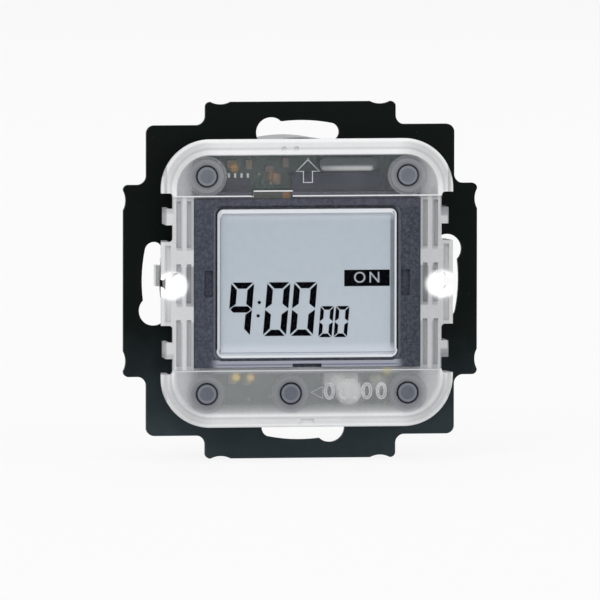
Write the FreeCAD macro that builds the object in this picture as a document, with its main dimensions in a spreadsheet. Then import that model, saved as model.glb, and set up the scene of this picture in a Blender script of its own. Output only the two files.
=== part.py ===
import FreeCAD, Part
import Sketcher
import math
import os
import re

# Flush-mounted timer switch: an insert for a round 60 mm wall box.
# Millimetres. X to the right, Z up, and the front looks along -Y.
# The origin is the centre of the support plate's rear face, which lies on the wall.
# Places along Y are written as they are: negative in front of the wall, positive inside it.

SIZES = {
    # Support plate
    "plate_width": 71.0,
    "plate_thickness": 1.2,
    "plate_arm_width": 38.2,
    "plate_shoulder_width": 61.8,
    "plate_corner_radius": 1.6,
    "plate_step_radius": 1.8,
    "plate_arm_radius": 1.0,
    "edge_notch_spacing": 32.0,
    "edge_notch_radius": 4.25,
    "edge_notch_depth": 0.5,
    "box_screw_circle": 60.0,
    "slot_width": 3.66,
    "slot_half_angle": 11.4,
    "keyhole_radius": 3.0,
    "keyhole_clearance": 0.3,
    "plate_opening_width": 26.0,
    "plate_opening_height": 12.0,
    # Front cover
    "cover_corner_radius": 9.8,
    "cover_lobe_margin": 1.5,
    "cover_front": 11.4,
    "cover_wall": 1.5,
    "cover_edge_depth": 1.4,
    "cover_skirt_depth": 6.4,
    "cover_skirt_wall": 1.7,
    "cover_skirt_draft": 8.0,
    "cover_edge_radius": 0.5,
    "side_recess_depth": 2.3,
    "side_recess_margin": 0.8,
    "side_tab_top": 14.9,
    "side_tab_bottom": 11.65,
    "side_tab_inset": 0.9,
    "side_lobe_height": 16.6,
    "recess_corner_radius": 0.7,
    "band_depth": 0.5,
    "band_margin": 0.5,
    "band_notch_left": 10.8,
    "band_notch_right": 3.0,
    "band_notch_height": 1.0,
    "rail_groove_depth": 0.7,
    "rail_groove_offset": 0.6,
    "rail_groove_margin": 0.8,
    "rail_groove_width": 0.9,
    "rail_groove_spacing": 2.1,
    "rail_groove_bottom": 7.2,
    "rail_window_half_height": 3.9,
    "rail_window_gap": 0.2,
    "access_notch_radius": 2.2,
    "access_notch_offset": 1.6,
    "access_mouth_half_height": 0.8,
    "tab_groove_inset": 0.8,
    "tab_groove_width": 1.1,
    "tab_groove_end": 0.7,
    "latch_pit_size": 0.9,
    "latch_pit_depth": 0.4,
    "latch_width": 2.5,
    "latch_depth": 1.2,
    "latch_setback": 1.2,
    "latch_height": 0.5,
    "latch_x": 3.5,
    "catch_half_width": 1.7,
    "catch_height": 1.2,
    "catch_slope": 0.5,
    # Frame behind the cover
    "frame_inset": 1.9,
    "frame_wall": 1.1,
    "frame_lobe_reach": 2.7,
    "frame_floor": 1.5,
    "frame_front_gap": 0.2,
    "frame_recess_gap": 0.6,
    "frame_hollow_radius": 2.5,
    "board_post_radius": 1.8,
    "board_post_x": 19.0,
    "board_post_z": 21.0,
    "frame_clearance": 0.2,
    # Display
    "carrier_step": 0.1,
    "carrier_side_wall": 3.2,
    "carrier_end_wall": 2.15,
    "carrier_corner_radius": 1.0,
    "bezel_thickness": 1.0,
    "window_half_width": 18.2,
    "window_half_height": 14.95,
    "bezel_edge": 1.75,
    "window_radius": 1.5,
    "window_bevel": 0.4,
    "carrier_slot_width": 1.7,
    "carrier_slot_offset": 1.5,
    "carrier_slot_height": 5.2,
    "carrier_slot_depth": 0.7,
    "carrier_mark_width": 5.8,
    "carrier_mark_height": 0.75,
    "glass_layer": 0.95,
    "glass_ledge": 1.5,
    "glass_gap": 0.2,
    "glass_side_overlap": 1.0,
    "glass_end_overlap": 0.7,
    "lens_gap": 0.1,
    "lens_thickness": 0.75,
    "lens_rest": 0.05,
    "reflector_thickness": 0.3,
    "strip_width": 1.0,
    "strip_inset": 0.4,
    "strip_end_gap": 1.7,
    "chip_relief_height": 2.4,
    # Display board and what it carries
    "board_thickness": 1.0,
    "board_rise": 1.3,
    "board_gap": 0.4,
    "field_height": 7.2,
    "switch_size": 4.5,
    "switch_height": 1.3,
    "switch_plunger_radius": 1.1,
    "switch_plunger_height": 0.5,
    "board_screw_radius": 0.75,
    "board_screw_side_inset": 1.6,
    "board_screw_end_inset": 4.0,
    "board_screw_head_radius": 1.35,
    "board_screw_head_height": 1.0,
    "board_screw_length": 4.0,
    "screw_gap": 0.05,
    "header_pitch": 2.54,
    "header_pin": 0.64,
    "header_body_depth": 1.9,
    "header_edge": 1.27,
    "header_end_gap": 1.0,
    "socket_front": 1.3,
    "socket_pin_radius": 0.5,
    "socket_pin_room": 0.4,
    "memory_chip_x": -13.1,
    "memory_chip_rise": 1.2,
    "memory_chip_width": 5.0,
    "memory_chip_height": 2.7,
    "memory_chip_depth": 1.5,
    "memory_chip_pitch": 1.27,
    "main_chip_x": 0.0,
    "main_chip_z": 0.0,
    "main_chip_width": 10.0,
    "main_chip_height": 10.0,
    "main_chip_depth": 1.4,
    "main_chip_pitch": 0.9,
    "chip_lead_reach": 1.0,
    "chip_lead_width": 0.4,
    "chip_standoff": 0.1,
    "crystal_x": 8.6,
    "crystal_rise": 5.35,
    "crystal_width": 11.4,
    "crystal_height": 2.7,
    "crystal_depth": 2.6,
    "crystal_corner": 1.3,
    "backup_cell_x": 6.45,
    "backup_cell_rise": 1.95,
    "backup_cell_width": 18.3,
    "backup_cell_height": 3.5,
    "backup_cell_depth": 3.3,
    "backup_cell_corner": 0.5,
    "spacer_x": 8.6,
    "spacer_rise": 3.8,
    "spacer_radius": 2.6,
    "spacer_depth": 3.9,
    "spacer_foot_x": 7.2,
    "spacer_foot_rise": 1.4,
    "spacer_foot_width": 6.8,
    "spacer_foot_height": 2.4,
    "spacer_foot_depth": 2.8,
    # Buttons
    "button_radius": 1.95,
    "button_gap": 0.2,
    "button_sink": 0.1,
    "button_head_length": 2.55,
    "button_flange_radius": 2.7,
    "button_flange_thickness": 0.85,
    "button_stem_radius": 1.0,
    "button_stem_length": 0.5,
    "button_guide_radius": 2.7,
    "button_guide_depth": 1.0,
    "button_dish_radius": 3.7,
    "button_dish_depth": 0.2,
    "button_middle_x": 3.3,
    "button_inset": 2.5,
    "button_top_rise": 3.3,
    "button_bottom_rise": 3.9,
    # Screws that join the frame, the plate and the housing
    "module_screw_x": 17.5,
    "module_screw_z": 9.0,
    "module_screw_radius": 1.0,
    "module_screw_head_radius": 1.9,
    "module_screw_head_height": 1.1,
    "housing_screw_radius": 1.1,
    "housing_screw_head_radius": 2.0,
    "housing_screw_length": 8.0,
    "housing_screw_top_x": 9.5,
    "housing_screw_top_offset": 2.1,
    "housing_screw_side_inset": 2.7,
    "housing_screw_bottom_z": 16.5,
    # Claws
    "claw_screw_radius": 1.5,
    "claw_screw_clearance": 0.15,
    "claw_screw_head_radius": 2.0,
    "claw_screw_head_height": 1.6,
    "claw_head_gap": 0.4,
    "claw_screw_tip": 17.9,
    "claw_screw_excess": 0.4,
    "claw_tip_gap": 0.6,
    "claw_seat_half_height": 3.0,
    "claw_thread_gap": 0.05,
    "claw_pivot_offset": 1.4,
    "claw_pivot_y": 3.2,
    "claw_pin_radius": 1.0,
    "claw_pin_gap": 0.05,
    "claw_arm_thickness": 1.0,
    "claw_root_radius": 2.2,
    "claw_outer_offset": 3.2,
    "claw_far_offset": 1.4,
    "claw_bridge_thickness": 1.2,
    "claw_tooth": 0.5,
    "ear_gap": 0.3,
    "ear_thickness": 1.0,
    "ear_end": 1.8,
    "ear_half_width": 1.5,
    "nut_length": 3.0,
    "nut_side_gap": 0.2,
    "nut_bar_overhang": 0.7,
    "nut_bar_outer": 2.3,
    "nut_bar_inner": 4.1,
    "nut_block_half_height": 2.1,
    "nut_block_outer": 2.0,
    # Rear housing
    "housing_radius": 27.5,
    "housing_top_block": 6.0,
    "housing_claw_room": 4.5,
    "housing_flange_radius": 28.3,
    "housing_flange_depth": 2.2,
    "housing_depth": 26.0,
    "housing_wall": 1.6,
    "hollow_bottom": 13.1,
    "lid_thickness": 1.2,
    "lid_ledge": 0.6,
    "lid_gap": 0.1,
    "power_board_front": 4.0,
    "power_board_thickness": 1.6,
    "power_board_gap": 0.3,
    "housing_post_radius": 1.2,
    "housing_post_x": 17.4,
    "housing_post_low_z": 11.6,
    "housing_post_high_x": 14.5,
    "housing_post_high_z": 18.2,
    # Parts on the power board
    "relay_x": -7.6,
    "relay_z": 9.7,
    "relay_width": 20.0,
    "relay_height": 10.2,
    "relay_depth": 15.4,
    "relay_corner": 0.6,
    "film_capacitor_x": -8.0,
    "film_capacitor_z": 0.4,
    "film_capacitor_width": 18.0,
    "film_capacitor_height": 6.0,
    "film_capacitor_depth": 12.0,
    "film_capacitor_corner": 0.8,
    "storage_x": 10.4,
    "storage_z": 10.6,
    "storage_radius": 4.6,
    "storage_length": 13.0,
    "storage_bead_depth": 0.3,
    "storage_bead_start": 1.4,
    "storage_bead_width": 1.0,
    "varistor_x": 10.4,
    "varistor_z": -0.5,
    "varistor_radius": 4.4,
    "varistor_thickness": 3.8,
    "varistor_rise": 5.6,
    "varistor_lead_spacing": 5.0,
    "resistor_x": -10.0,
    "resistor_z": -7.0,
    "resistor_radius": 1.9,
    "resistor_length": 11.0,
    "resistor_rise": 2.4,
    "diode_x": 6.9,
    "diode_z": -6.5,
    "diode_pitch": 4.2,
    "diode_radius": 1.3,
    "diode_length": 4.6,
    "diode_rise": 1.6,
    "lead_width": 0.8,
    "lead_reach": 1.0,
    # Terminals
    "terminal_depth": 18.0,
    "chamber_wall": 1.5,
    "cage_half_width": 3.1,
    "cage_half_height": 2.8,
    "cage_wall": 0.8,
    "cage_side_gap": 0.25,
    "cage_end_gap": 0.3,
    "cage_head_gap": 0.1,
    "cage_travel": 1.9,
    "cage_closed_gap": 1.2,
    "cage_front": 3.0,
    "cage_floor": 1.2,
    "cage_top_thickness": 1.6,
    "wire_radius": 1.4,
    "wire_bore_length": 1.9,
    "bar_thickness": 1.0,
    "bar_side_gap": 0.2,
    "bar_reach": 2.3,
    "bar_slot_gap": 0.2,
    "terminal_screw_radius": 1.5,
    "terminal_screw_head_radius": 2.4,
    "terminal_screw_head_height": 1.7,
    "terminal_screw_head_gap": 0.1,
    "terminal_screw_tip_gap": 0.1,
    "screw_access_radius": 1.9,
    # Screw slots
    "drive_slot_width": 0.7,
    "drive_slot_depth": 0.7,
}

# Sizes that follow from others
FOLLOWING = {
    # Display
    "glass_half_width": "window_half_width + glass_side_overlap",
    "glass_half_height": "window_half_height + glass_end_overlap",
    "carrier_half_width": "glass_half_width + glass_gap + carrier_side_wall",
    "carrier_half_height": "window_half_height + bezel_edge",
    "carrier_base_half_height": "glass_half_height + glass_gap + carrier_end_wall",
    "carrier_slot_x": "window_half_width + carrier_slot_offset",
    "strip_half_length": "glass_half_width - strip_end_gap",
    "board_half_width": "carrier_half_width",
    "board_half_height": "carrier_base_half_height + field_height",
    "board_screw_x": "carrier_half_width - board_screw_side_inset",
    "board_screw_z": "carrier_base_half_height - board_screw_end_inset",
    "memory_chip_z": "carrier_base_half_height + memory_chip_rise",
    "crystal_z": "carrier_base_half_height + crystal_rise",
    "backup_cell_z": "carrier_base_half_height + backup_cell_rise",
    "spacer_z": "-(carrier_base_half_height + spacer_rise)",
    "spacer_foot_z": "-(carrier_base_half_height + spacer_foot_rise)",
    "button_x": "carrier_half_width - button_inset",
    "button_top_z": "carrier_base_half_height + button_top_rise",
    "button_bottom_z": "carrier_base_half_height + button_bottom_rise",
    # Frame and cover
    "frame_side_inner": "board_half_width + board_gap",
    "frame_end_inner": "board_half_height + board_gap",
    "claw_screw_x": "carrier_half_width + claw_screw_head_radius + claw_head_gap",
    "claw_screw_seat": "cover_front - cover_wall - claw_head_gap - claw_screw_head_height",
    "frame_lobe_half_width": "claw_screw_x + frame_lobe_reach",
    "cover_half_width": "frame_lobe_half_width + cover_lobe_margin",
    "cover_half_height": "frame_end_inner + frame_wall + frame_inset",
    "access_notch_x": "claw_screw_x + access_notch_offset",
    "band_half_height": "carrier_half_height + band_margin",
    "side_recess_top": "band_half_height + side_recess_margin",
    "rail_groove_inner": "carrier_half_width + rail_groove_offset",
    "rail_groove_top": "band_half_height - rail_groove_margin",
    # Claws
    "claw_arm_inner": "nut_block_half_height + nut_side_gap",
    "nut_bar_half_height": "claw_arm_inner + claw_arm_thickness + nut_bar_overhang",
    "nut_rest": "claw_screw_tip - nut_length - claw_screw_excess",
    "claw_length": "claw_screw_tip + claw_tip_gap + claw_bridge_thickness",
    "ear_length": "claw_pivot_y + ear_end",
    # Housing and terminals
    "housing_half_width": "claw_screw_x - housing_claw_room",
    "hollow_top": "housing_radius - housing_top_block",
    "housing_screw_top_z": "hollow_top + housing_screw_top_offset",
    "housing_screw_bottom_x": "housing_half_width - housing_screw_side_inset",
    "header_pin_end": "power_board_front - header_end_gap",
    "chamber_half_width": "cage_half_width + cage_side_gap",
    "chamber_half_height": "cage_half_height + cage_end_gap",
    "terminal_pitch": "2 * chamber_half_width + chamber_wall",
    "terminal_z": "hollow_bottom + housing_wall + chamber_half_height",
    "housing_bottom": "terminal_z + chamber_half_height + wire_bore_length",
    "bar_half_width": "cage_half_width - cage_wall - bar_side_gap",
    "bar_front": "cage_front + cage_floor + cage_travel + cage_closed_gap",
    "bar_end_z": "hollow_bottom - bar_reach",
    "wire_y": "(cage_front + cage_floor + bar_front) / 2",
    "terminal_head_seat":
        "terminal_depth - housing_wall - terminal_screw_head_gap - terminal_screw_head_height",
    "cage_top_start": "terminal_head_seat - cage_head_gap - cage_travel - cage_top_thickness",
}

doc = FreeCAD.newDocument("timer_switch")
sheet = doc.addObject("Spreadsheet::Sheet", "sizes")
for row, (alias, value) in enumerate(SIZES.items(), 1):
    sheet.set(f"A{row}", alias)
    sheet.set(f"B{row}", str(value))
    sheet.setAlias(f"B{row}", alias)
doc.recompute()

nodes = []


# Formulas

def formula(expression):
    """Return the expression with each named size looked up in the sheet."""
    def look_up(word):
        name = word.group()
        if name in FOLLOWING:
            return f"({formula(FOLLOWING[name])})"
        return f"sizes.{name}" if name in SIZES else name
    return re.sub(r"[a-z][a-z_]+", look_up, str(expression))


def number(expression):
    """Return the expression's present value."""
    return float(sheet.evalExpression(formula(expression)))


def bind(item, prop, expression):
    item.setExpression(prop, formula(expression))


def node(label, item):
    """Keep a finished piece under its own name."""
    item.Label = label
    nodes.append(item)
    return item


# Sketches, each in a plane square to Y

def new_body(name):
    return doc.addObject("PartDesign::Body", name)


def sketch_at(body, name, y, plane="XZ_Plane"):
    sketch = body.newObject("Sketcher::SketchObject", name)
    base = [item for item in body.Origin.OriginFeatures if item.Role == plane][0]
    sketch.AttachmentSupport = [(base, "")]
    sketch.MapMode = "FlatFace"
    bind(sketch, "AttachmentOffset.Base.z", f"-({y})" if plane == "XZ_Plane" else y)
    return sketch


def drive(sketch, kind, where, expression):
    """Add a dimension to the sketch and bind it to a size."""
    index = sketch.addConstraint(Sketcher.Constraint(kind, *where, number(expression)))
    bind(sketch, f"Constraints[{index}]", expression)


def rectangle(left, right, low, high):
    def draw(sketch):
        x0, x1, z0, z1 = [number(side) for side in (left, right, low, high)]
        corners = [FreeCAD.Vector(x, z, 0) for x, z in ((x0, z0), (x1, z0), (x1, z1), (x0, z1))]
        first = sketch.GeometryCount
        for i in range(4):
            sketch.addGeometry(Part.LineSegment(corners[i], corners[(i + 1) % 4]), False)
        for i in range(4):
            sketch.addConstraint(Sketcher.Constraint("Coincident", first + i, 2, first + (i + 1) % 4, 1))
        for i, kind in enumerate(["Horizontal", "Vertical", "Horizontal", "Vertical"]):
            sketch.addConstraint(Sketcher.Constraint(kind, first + i))
        drive(sketch, "DistanceX", (first, 1), left)
        drive(sketch, "DistanceY", (first, 1), low)
        drive(sketch, "DistanceX", (first + 1, 2), right)
        drive(sketch, "DistanceY", (first + 1, 2), high)
    return draw


def rectangle_at(x, z, half_width, half_height):
    return rectangle(f"{x} - {half_width}", f"{x} + {half_width}",
                     f"{z} - {half_height}", f"{z} + {half_height}")


def centred(half_width, half_height):
    return rectangle_at("0", "0", f"({half_width})", f"({half_height})")


def rounded(half_width, half_height, radius):
    """A rectangle about the origin with rounded corners."""
    def draw(sketch):
        wide, high, r = [number(size) for size in (half_width, half_height, radius)]
        axis = FreeCAD.Vector(0, 0, 1)
        centres = [(wide - r, -high + r), (wide - r, high - r), (-wide + r, high - r), (-wide + r, -high + r)]
        quarter = math.pi / 2
        arcs = []
        for i, (x, z) in enumerate(centres):
            ring = Part.Circle(FreeCAD.Vector(x, z, 0), axis, r)
            arcs.append(sketch.addGeometry(Part.ArcOfCircle(ring, (i - 1) * quarter, i * quarter), False))
        starts = [(wide, -high + r), (wide - r, high), (-wide, high - r), (-wide + r, -high)]
        ends = [(wide, high - r), (-wide + r, high), (-wide, -high + r), (wide - r, -high)]
        sides = []
        for start, end in zip(starts, ends):
            line = Part.LineSegment(FreeCAD.Vector(*start, 0), FreeCAD.Vector(*end, 0))
            sides.append(sketch.addGeometry(line, False))
        for i in range(4):
            sketch.addConstraint(Sketcher.Constraint("Tangent", arcs[i], 2, sides[i], 1))
            sketch.addConstraint(Sketcher.Constraint("Tangent", sides[i], 2, arcs[(i + 1) % 4], 1))
            sketch.addConstraint(Sketcher.Constraint("Vertical" if i % 2 == 0 else "Horizontal", sides[i]))
        for i in range(1, 4):
            sketch.addConstraint(Sketcher.Constraint("Equal", arcs[0], arcs[i]))
        drive(sketch, "Radius", (arcs[0],), radius)
        drive(sketch, "DistanceX", (sides[0], 1), half_width)
        drive(sketch, "DistanceX", (sides[2], 1), f"-({half_width})")
        drive(sketch, "DistanceY", (sides[1], 1), half_height)
        drive(sketch, "DistanceY", (sides[3], 1), f"-({half_height})")
    return draw


def disc(x, z, radius):
    def draw(sketch):
        centre = FreeCAD.Vector(number(x), number(z), 0)
        index = sketch.addGeometry(Part.Circle(centre, FreeCAD.Vector(0, 0, 1), number(radius)), False)
        drive(sketch, "DistanceX", (index, 3), x)
        drive(sketch, "DistanceY", (index, 3), z)
        drive(sketch, "Radius", (index,), radius)
    return draw


def arc_slot(circle_radius, width, half_angle):
    """A slot that bends round the origin, centred above it."""
    def draw(sketch):
        middle = number(circle_radius)
        half = number(width) / 2
        axis = FreeCAD.Vector(0, 0, 1)
        angle = math.radians(number(half_angle))
        right = math.pi / 2 - angle
        left = math.pi / 2 + angle
        turn = math.pi
        centre = FreeCAD.Vector(0, 0, 0)
        ends = []
        for direction in (right, left):
            ends.append(FreeCAD.Vector(middle * math.cos(direction), middle * math.sin(direction), 0))
        outer = sketch.addGeometry(Part.ArcOfCircle(Part.Circle(centre, axis, middle + half), right, left))
        inner = sketch.addGeometry(Part.ArcOfCircle(Part.Circle(centre, axis, middle - half), right, left))
        cap_right = sketch.addGeometry(
            Part.ArcOfCircle(Part.Circle(ends[0], axis, half), right + turn, right + 2 * turn))
        cap_left = sketch.addGeometry(Part.ArcOfCircle(Part.Circle(ends[1], axis, half), left, left + turn))
        for arc in (outer, inner):
            sketch.addConstraint(Sketcher.Constraint("Coincident", arc, 3, -1, 1))
        sketch.addConstraint(Sketcher.Constraint("Tangent", outer, 1, cap_right, 2))
        sketch.addConstraint(Sketcher.Constraint("Tangent", inner, 1, cap_right, 1))
        sketch.addConstraint(Sketcher.Constraint("Tangent", outer, 2, cap_left, 1))
        sketch.addConstraint(Sketcher.Constraint("Tangent", inner, 2, cap_left, 2))
        drive(sketch, "Radius", (outer,), f"{circle_radius} + {width} / 2")
        drive(sketch, "Radius", (inner,), f"{circle_radius} - {width} / 2")
        drive(sketch, "DistanceX", (cap_right, 3), f"{circle_radius} * sin({half_angle})")
        drive(sketch, "DistanceX", (cap_left, 3), f"-{circle_radius} * sin({half_angle})")
    return draw


def profile(points):
    """A closed outline through points whose two places are formulas."""
    def draw(sketch):
        places = [FreeCAD.Vector(number(u), number(v), 0) for u, v in points]
        count = len(points)
        first = sketch.GeometryCount
        for i in range(count):
            sketch.addGeometry(Part.LineSegment(places[i], places[(i + 1) % count]), False)
        for i in range(count):
            sketch.addConstraint(Sketcher.Constraint("Coincident", first + i, 2, first + (i + 1) % count, 1))
            drive(sketch, "DistanceX", (first + i, 1), points[i][0])
            drive(sketch, "DistanceY", (first + i, 1), points[i][1])
    return draw


# Features of a body

def pad(body, name, start, end, *shapes, draft=None):
    """Add material from one place along Y to another."""
    sketch = sketch_at(body, f"{name}_sketch", start)
    for draw in shapes:
        draw(sketch)
    feature = body.newObject("PartDesign::Pad", name)
    feature.Profile = sketch
    feature.Reversed = number(end) > number(start)
    bind(feature, "Length", f"abs(({end}) - ({start}))")
    if draft:
        bind(feature, "TaperAngle", draft)
    doc.recompute()
    return feature


def pocket(body, name, start, end, *shapes):
    """Take material away from one place along Y to another."""
    before = body.Shape.Volume
    sketch = sketch_at(body, f"{name}_sketch", start)
    for draw in shapes:
        draw(sketch)
    feature = body.newObject("PartDesign::Pocket", name)
    feature.Profile = sketch
    feature.Reversed = number(end) < number(start)
    bind(feature, "Length", f"abs(({end}) - ({start}))")
    doc.recompute()
    if body.Shape.Volume > before - 1e-4:
        raise ValueError(f"{name} cuts nothing")
    return feature


def revolve(body, name, points):
    """Turn an outline in the XY plane, given as (x, y) pairs, about the Y axis."""
    sketch = sketch_at(body, f"{name}_sketch", "0", plane="XY_Plane")
    profile(points)(sketch)
    feature = body.newObject("PartDesign::Revolution", name)
    feature.Profile = sketch
    feature.ReferenceAxis = (sketch, ["V_Axis"])
    feature.Angle = 360
    doc.recompute()
    return feature


def is_along_y(edge):
    return edge.Curve.TypeId == "Part::GeomLine" and abs(abs(edge.Curve.Direction.y) - 1) < 0.05


def edges_at(shape, spots, tolerance=0.15):
    """Name the edges along Y that stand at these (x, z) spots, on all four sides."""
    wanted = [(number(x), number(z)) for x, z in spots]
    names = []
    for index, edge in enumerate(shape.Edges, 1):
        if not is_along_y(edge):
            continue
        middle = edge.CenterOfMass
        for x, z in wanted:
            if abs(abs(middle.x) - x) < tolerance and abs(abs(middle.z) - z) < tolerance:
                names.append(f"Edge{index}")
                break
    return names


def edges_in_plane(shape, y):
    """Name the edges whose middle lies at one place along Y."""
    for index, edge in enumerate(shape.Edges, 1):
        if abs(edge.CenterOfMass.y - number(y)) < 1e-6:
            yield f"Edge{index}", edge


def dress(body, kind, name, prop, size, names):
    """Round or bevel the named edges of the body's last feature."""
    feature = body.newObject(f"PartDesign::{kind}", name)
    feature.Base = (body.Group[-2], names)
    bind(feature, prop, size)
    doc.recompute()
    return feature


def fillet(body, name, radius, spots, tolerance=0.15):
    names = edges_at(body.Tip.Shape, spots, tolerance)
    return dress(body, "Fillet", name, "Radius", radius, names)


# Solids made from primitives

def block(name, left, right, front, back, low, high):
    """A block between six planes."""
    item = doc.addObject("Part::Box", name)
    bind(item, "Length", f"({right}) - ({left})")
    bind(item, "Width", f"({back}) - ({front})")
    bind(item, "Height", f"({high}) - ({low})")
    bind(item, "Placement.Base.x", left)
    bind(item, "Placement.Base.y", front)
    bind(item, "Placement.Base.z", low)
    return item


def block_at(name, x, z, half_width, half_height, front, back):
    """A block about a line along Y."""
    return block(name, f"{x} - {half_width}", f"{x} + {half_width}", front, back,
                 f"{z} - {half_height}", f"{z} + {half_height}")


TURNS = {
    "X": FreeCAD.Rotation(FreeCAD.Vector(0, 1, 0), 90),
    "Y": FreeCAD.Rotation(FreeCAD.Vector(1, 0, 0), -90),
    "Z": FreeCAD.Rotation(),
}
BACK_TO_FRONT = FreeCAD.Rotation(FreeCAD.Vector(0, 0, 1), 180)


def rod(name, axis, x, y, z, radius, length):
    """A cylinder that starts at a place and runs along one axis."""
    item = doc.addObject("Part::Cylinder", name)
    item.Placement = FreeCAD.Placement(FreeCAD.Vector(), TURNS[axis])
    bind(item, "Radius", radius)
    bind(item, "Height", length)
    bind(item, "Placement.Base.x", x)
    bind(item, "Placement.Base.y", y)
    bind(item, "Placement.Base.z", z)
    return item


def cut(name, base, *tools):
    item = doc.addObject("Part::Cut", name)
    item.Base = base
    item.Tool = tools[0] if len(tools) == 1 else fuse(f"{name}_tools", *tools)
    return item


def fuse(name, *parts):
    item = doc.addObject("Part::MultiFuse", name)
    item.Shapes = list(parts)
    item.Refine = True
    return item


def common(name, first, second):
    item = doc.addObject("Part::Common", name)
    item.Base = first
    item.Tool = second
    return item


def group(name, *parts):
    """Several separate solids under one name."""
    item = doc.addObject("Part::Compound", name)
    item.Links = list(parts)
    return item


# Places that several pieces share

BOARD_BACK = "(-plate_thickness - frame_floor - board_rise)"
BOARD_FRONT = f"({BOARD_BACK} - board_thickness)"
FRAME_FLOOR = "(-plate_thickness - frame_floor)"
COVER_INSIDE = "(-cover_front + cover_wall)"
BAND_FACE = "(-cover_front + band_depth)"
CARRIER_FACE = f"({BAND_FACE} + carrier_step)"
GLASS_FRONT = f"({CARRIER_FACE} + bezel_thickness)"
GLASS_STEP = f"({GLASS_FRONT} + glass_layer)"
GLASS_BACK = f"({GLASS_STEP} + glass_layer)"
POWER_BOARD_BACK = "(power_board_front + power_board_thickness)"
HOLLOW_END = "(housing_depth - housing_wall)"
CLAW_PIVOT_X = "(claw_screw_x - claw_pivot_offset)"
EAR_START = "(claw_arm_inner + claw_arm_thickness + ear_gap)"

PLUG_OPENING = ("plate_opening_width / 2", "plate_opening_height / 2")

BUTTONS = {
    "button_top_left": ("-button_x", "button_top_z"),
    "button_top_right": ("button_x", "button_top_z"),
    "button_bottom_left": ("-button_x", "-button_bottom_z"),
    "button_bottom_middle": ("-button_middle_x", "-button_bottom_z"),
    "button_bottom_right": ("button_x", "-button_bottom_z"),
}
HOUSING_SCREWS = [
    ("-housing_screw_top_x", "housing_screw_top_z"),
    ("housing_screw_top_x", "housing_screw_top_z"),
    ("-housing_screw_bottom_x", "-housing_screw_bottom_z"),
    ("housing_screw_bottom_x", "-housing_screw_bottom_z"),
]
MODULE_SCREWS = [("-module_screw_x", "module_screw_z"), ("module_screw_x", "module_screw_z")]
BOARD_SCREWS = [(f"{x}board_screw_x", f"{z}board_screw_z") for x in ("-", "") for z in ("-", "")]
BOARD_POSTS = [(f"{x}board_post_x", f"{z}board_post_z") for x in ("-", "") for z in ("-", "")]
TERMINALS = [f"({step} * terminal_pitch)" for step in (-1.5, -0.5, 0.5, 1.5)]
KEYHOLES = [
    ("-box_screw_circle / 2 * sin(slot_half_angle)", "box_screw_circle / 2 * cos(slot_half_angle)"),
    ("-box_screw_circle / 2 * cos(slot_half_angle)", "-box_screw_circle / 2 * sin(slot_half_angle)"),
    ("box_screw_circle / 2 * sin(slot_half_angle)", "-box_screw_circle / 2 * cos(slot_half_angle)"),
    ("box_screw_circle / 2 * cos(slot_half_angle)", "box_screw_circle / 2 * sin(slot_half_angle)"),
]


# Support plate: stamped steel sheet with four arms, keyhole slots for the box
# screws, and two pairs of ears bent back to carry the claws.

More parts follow.
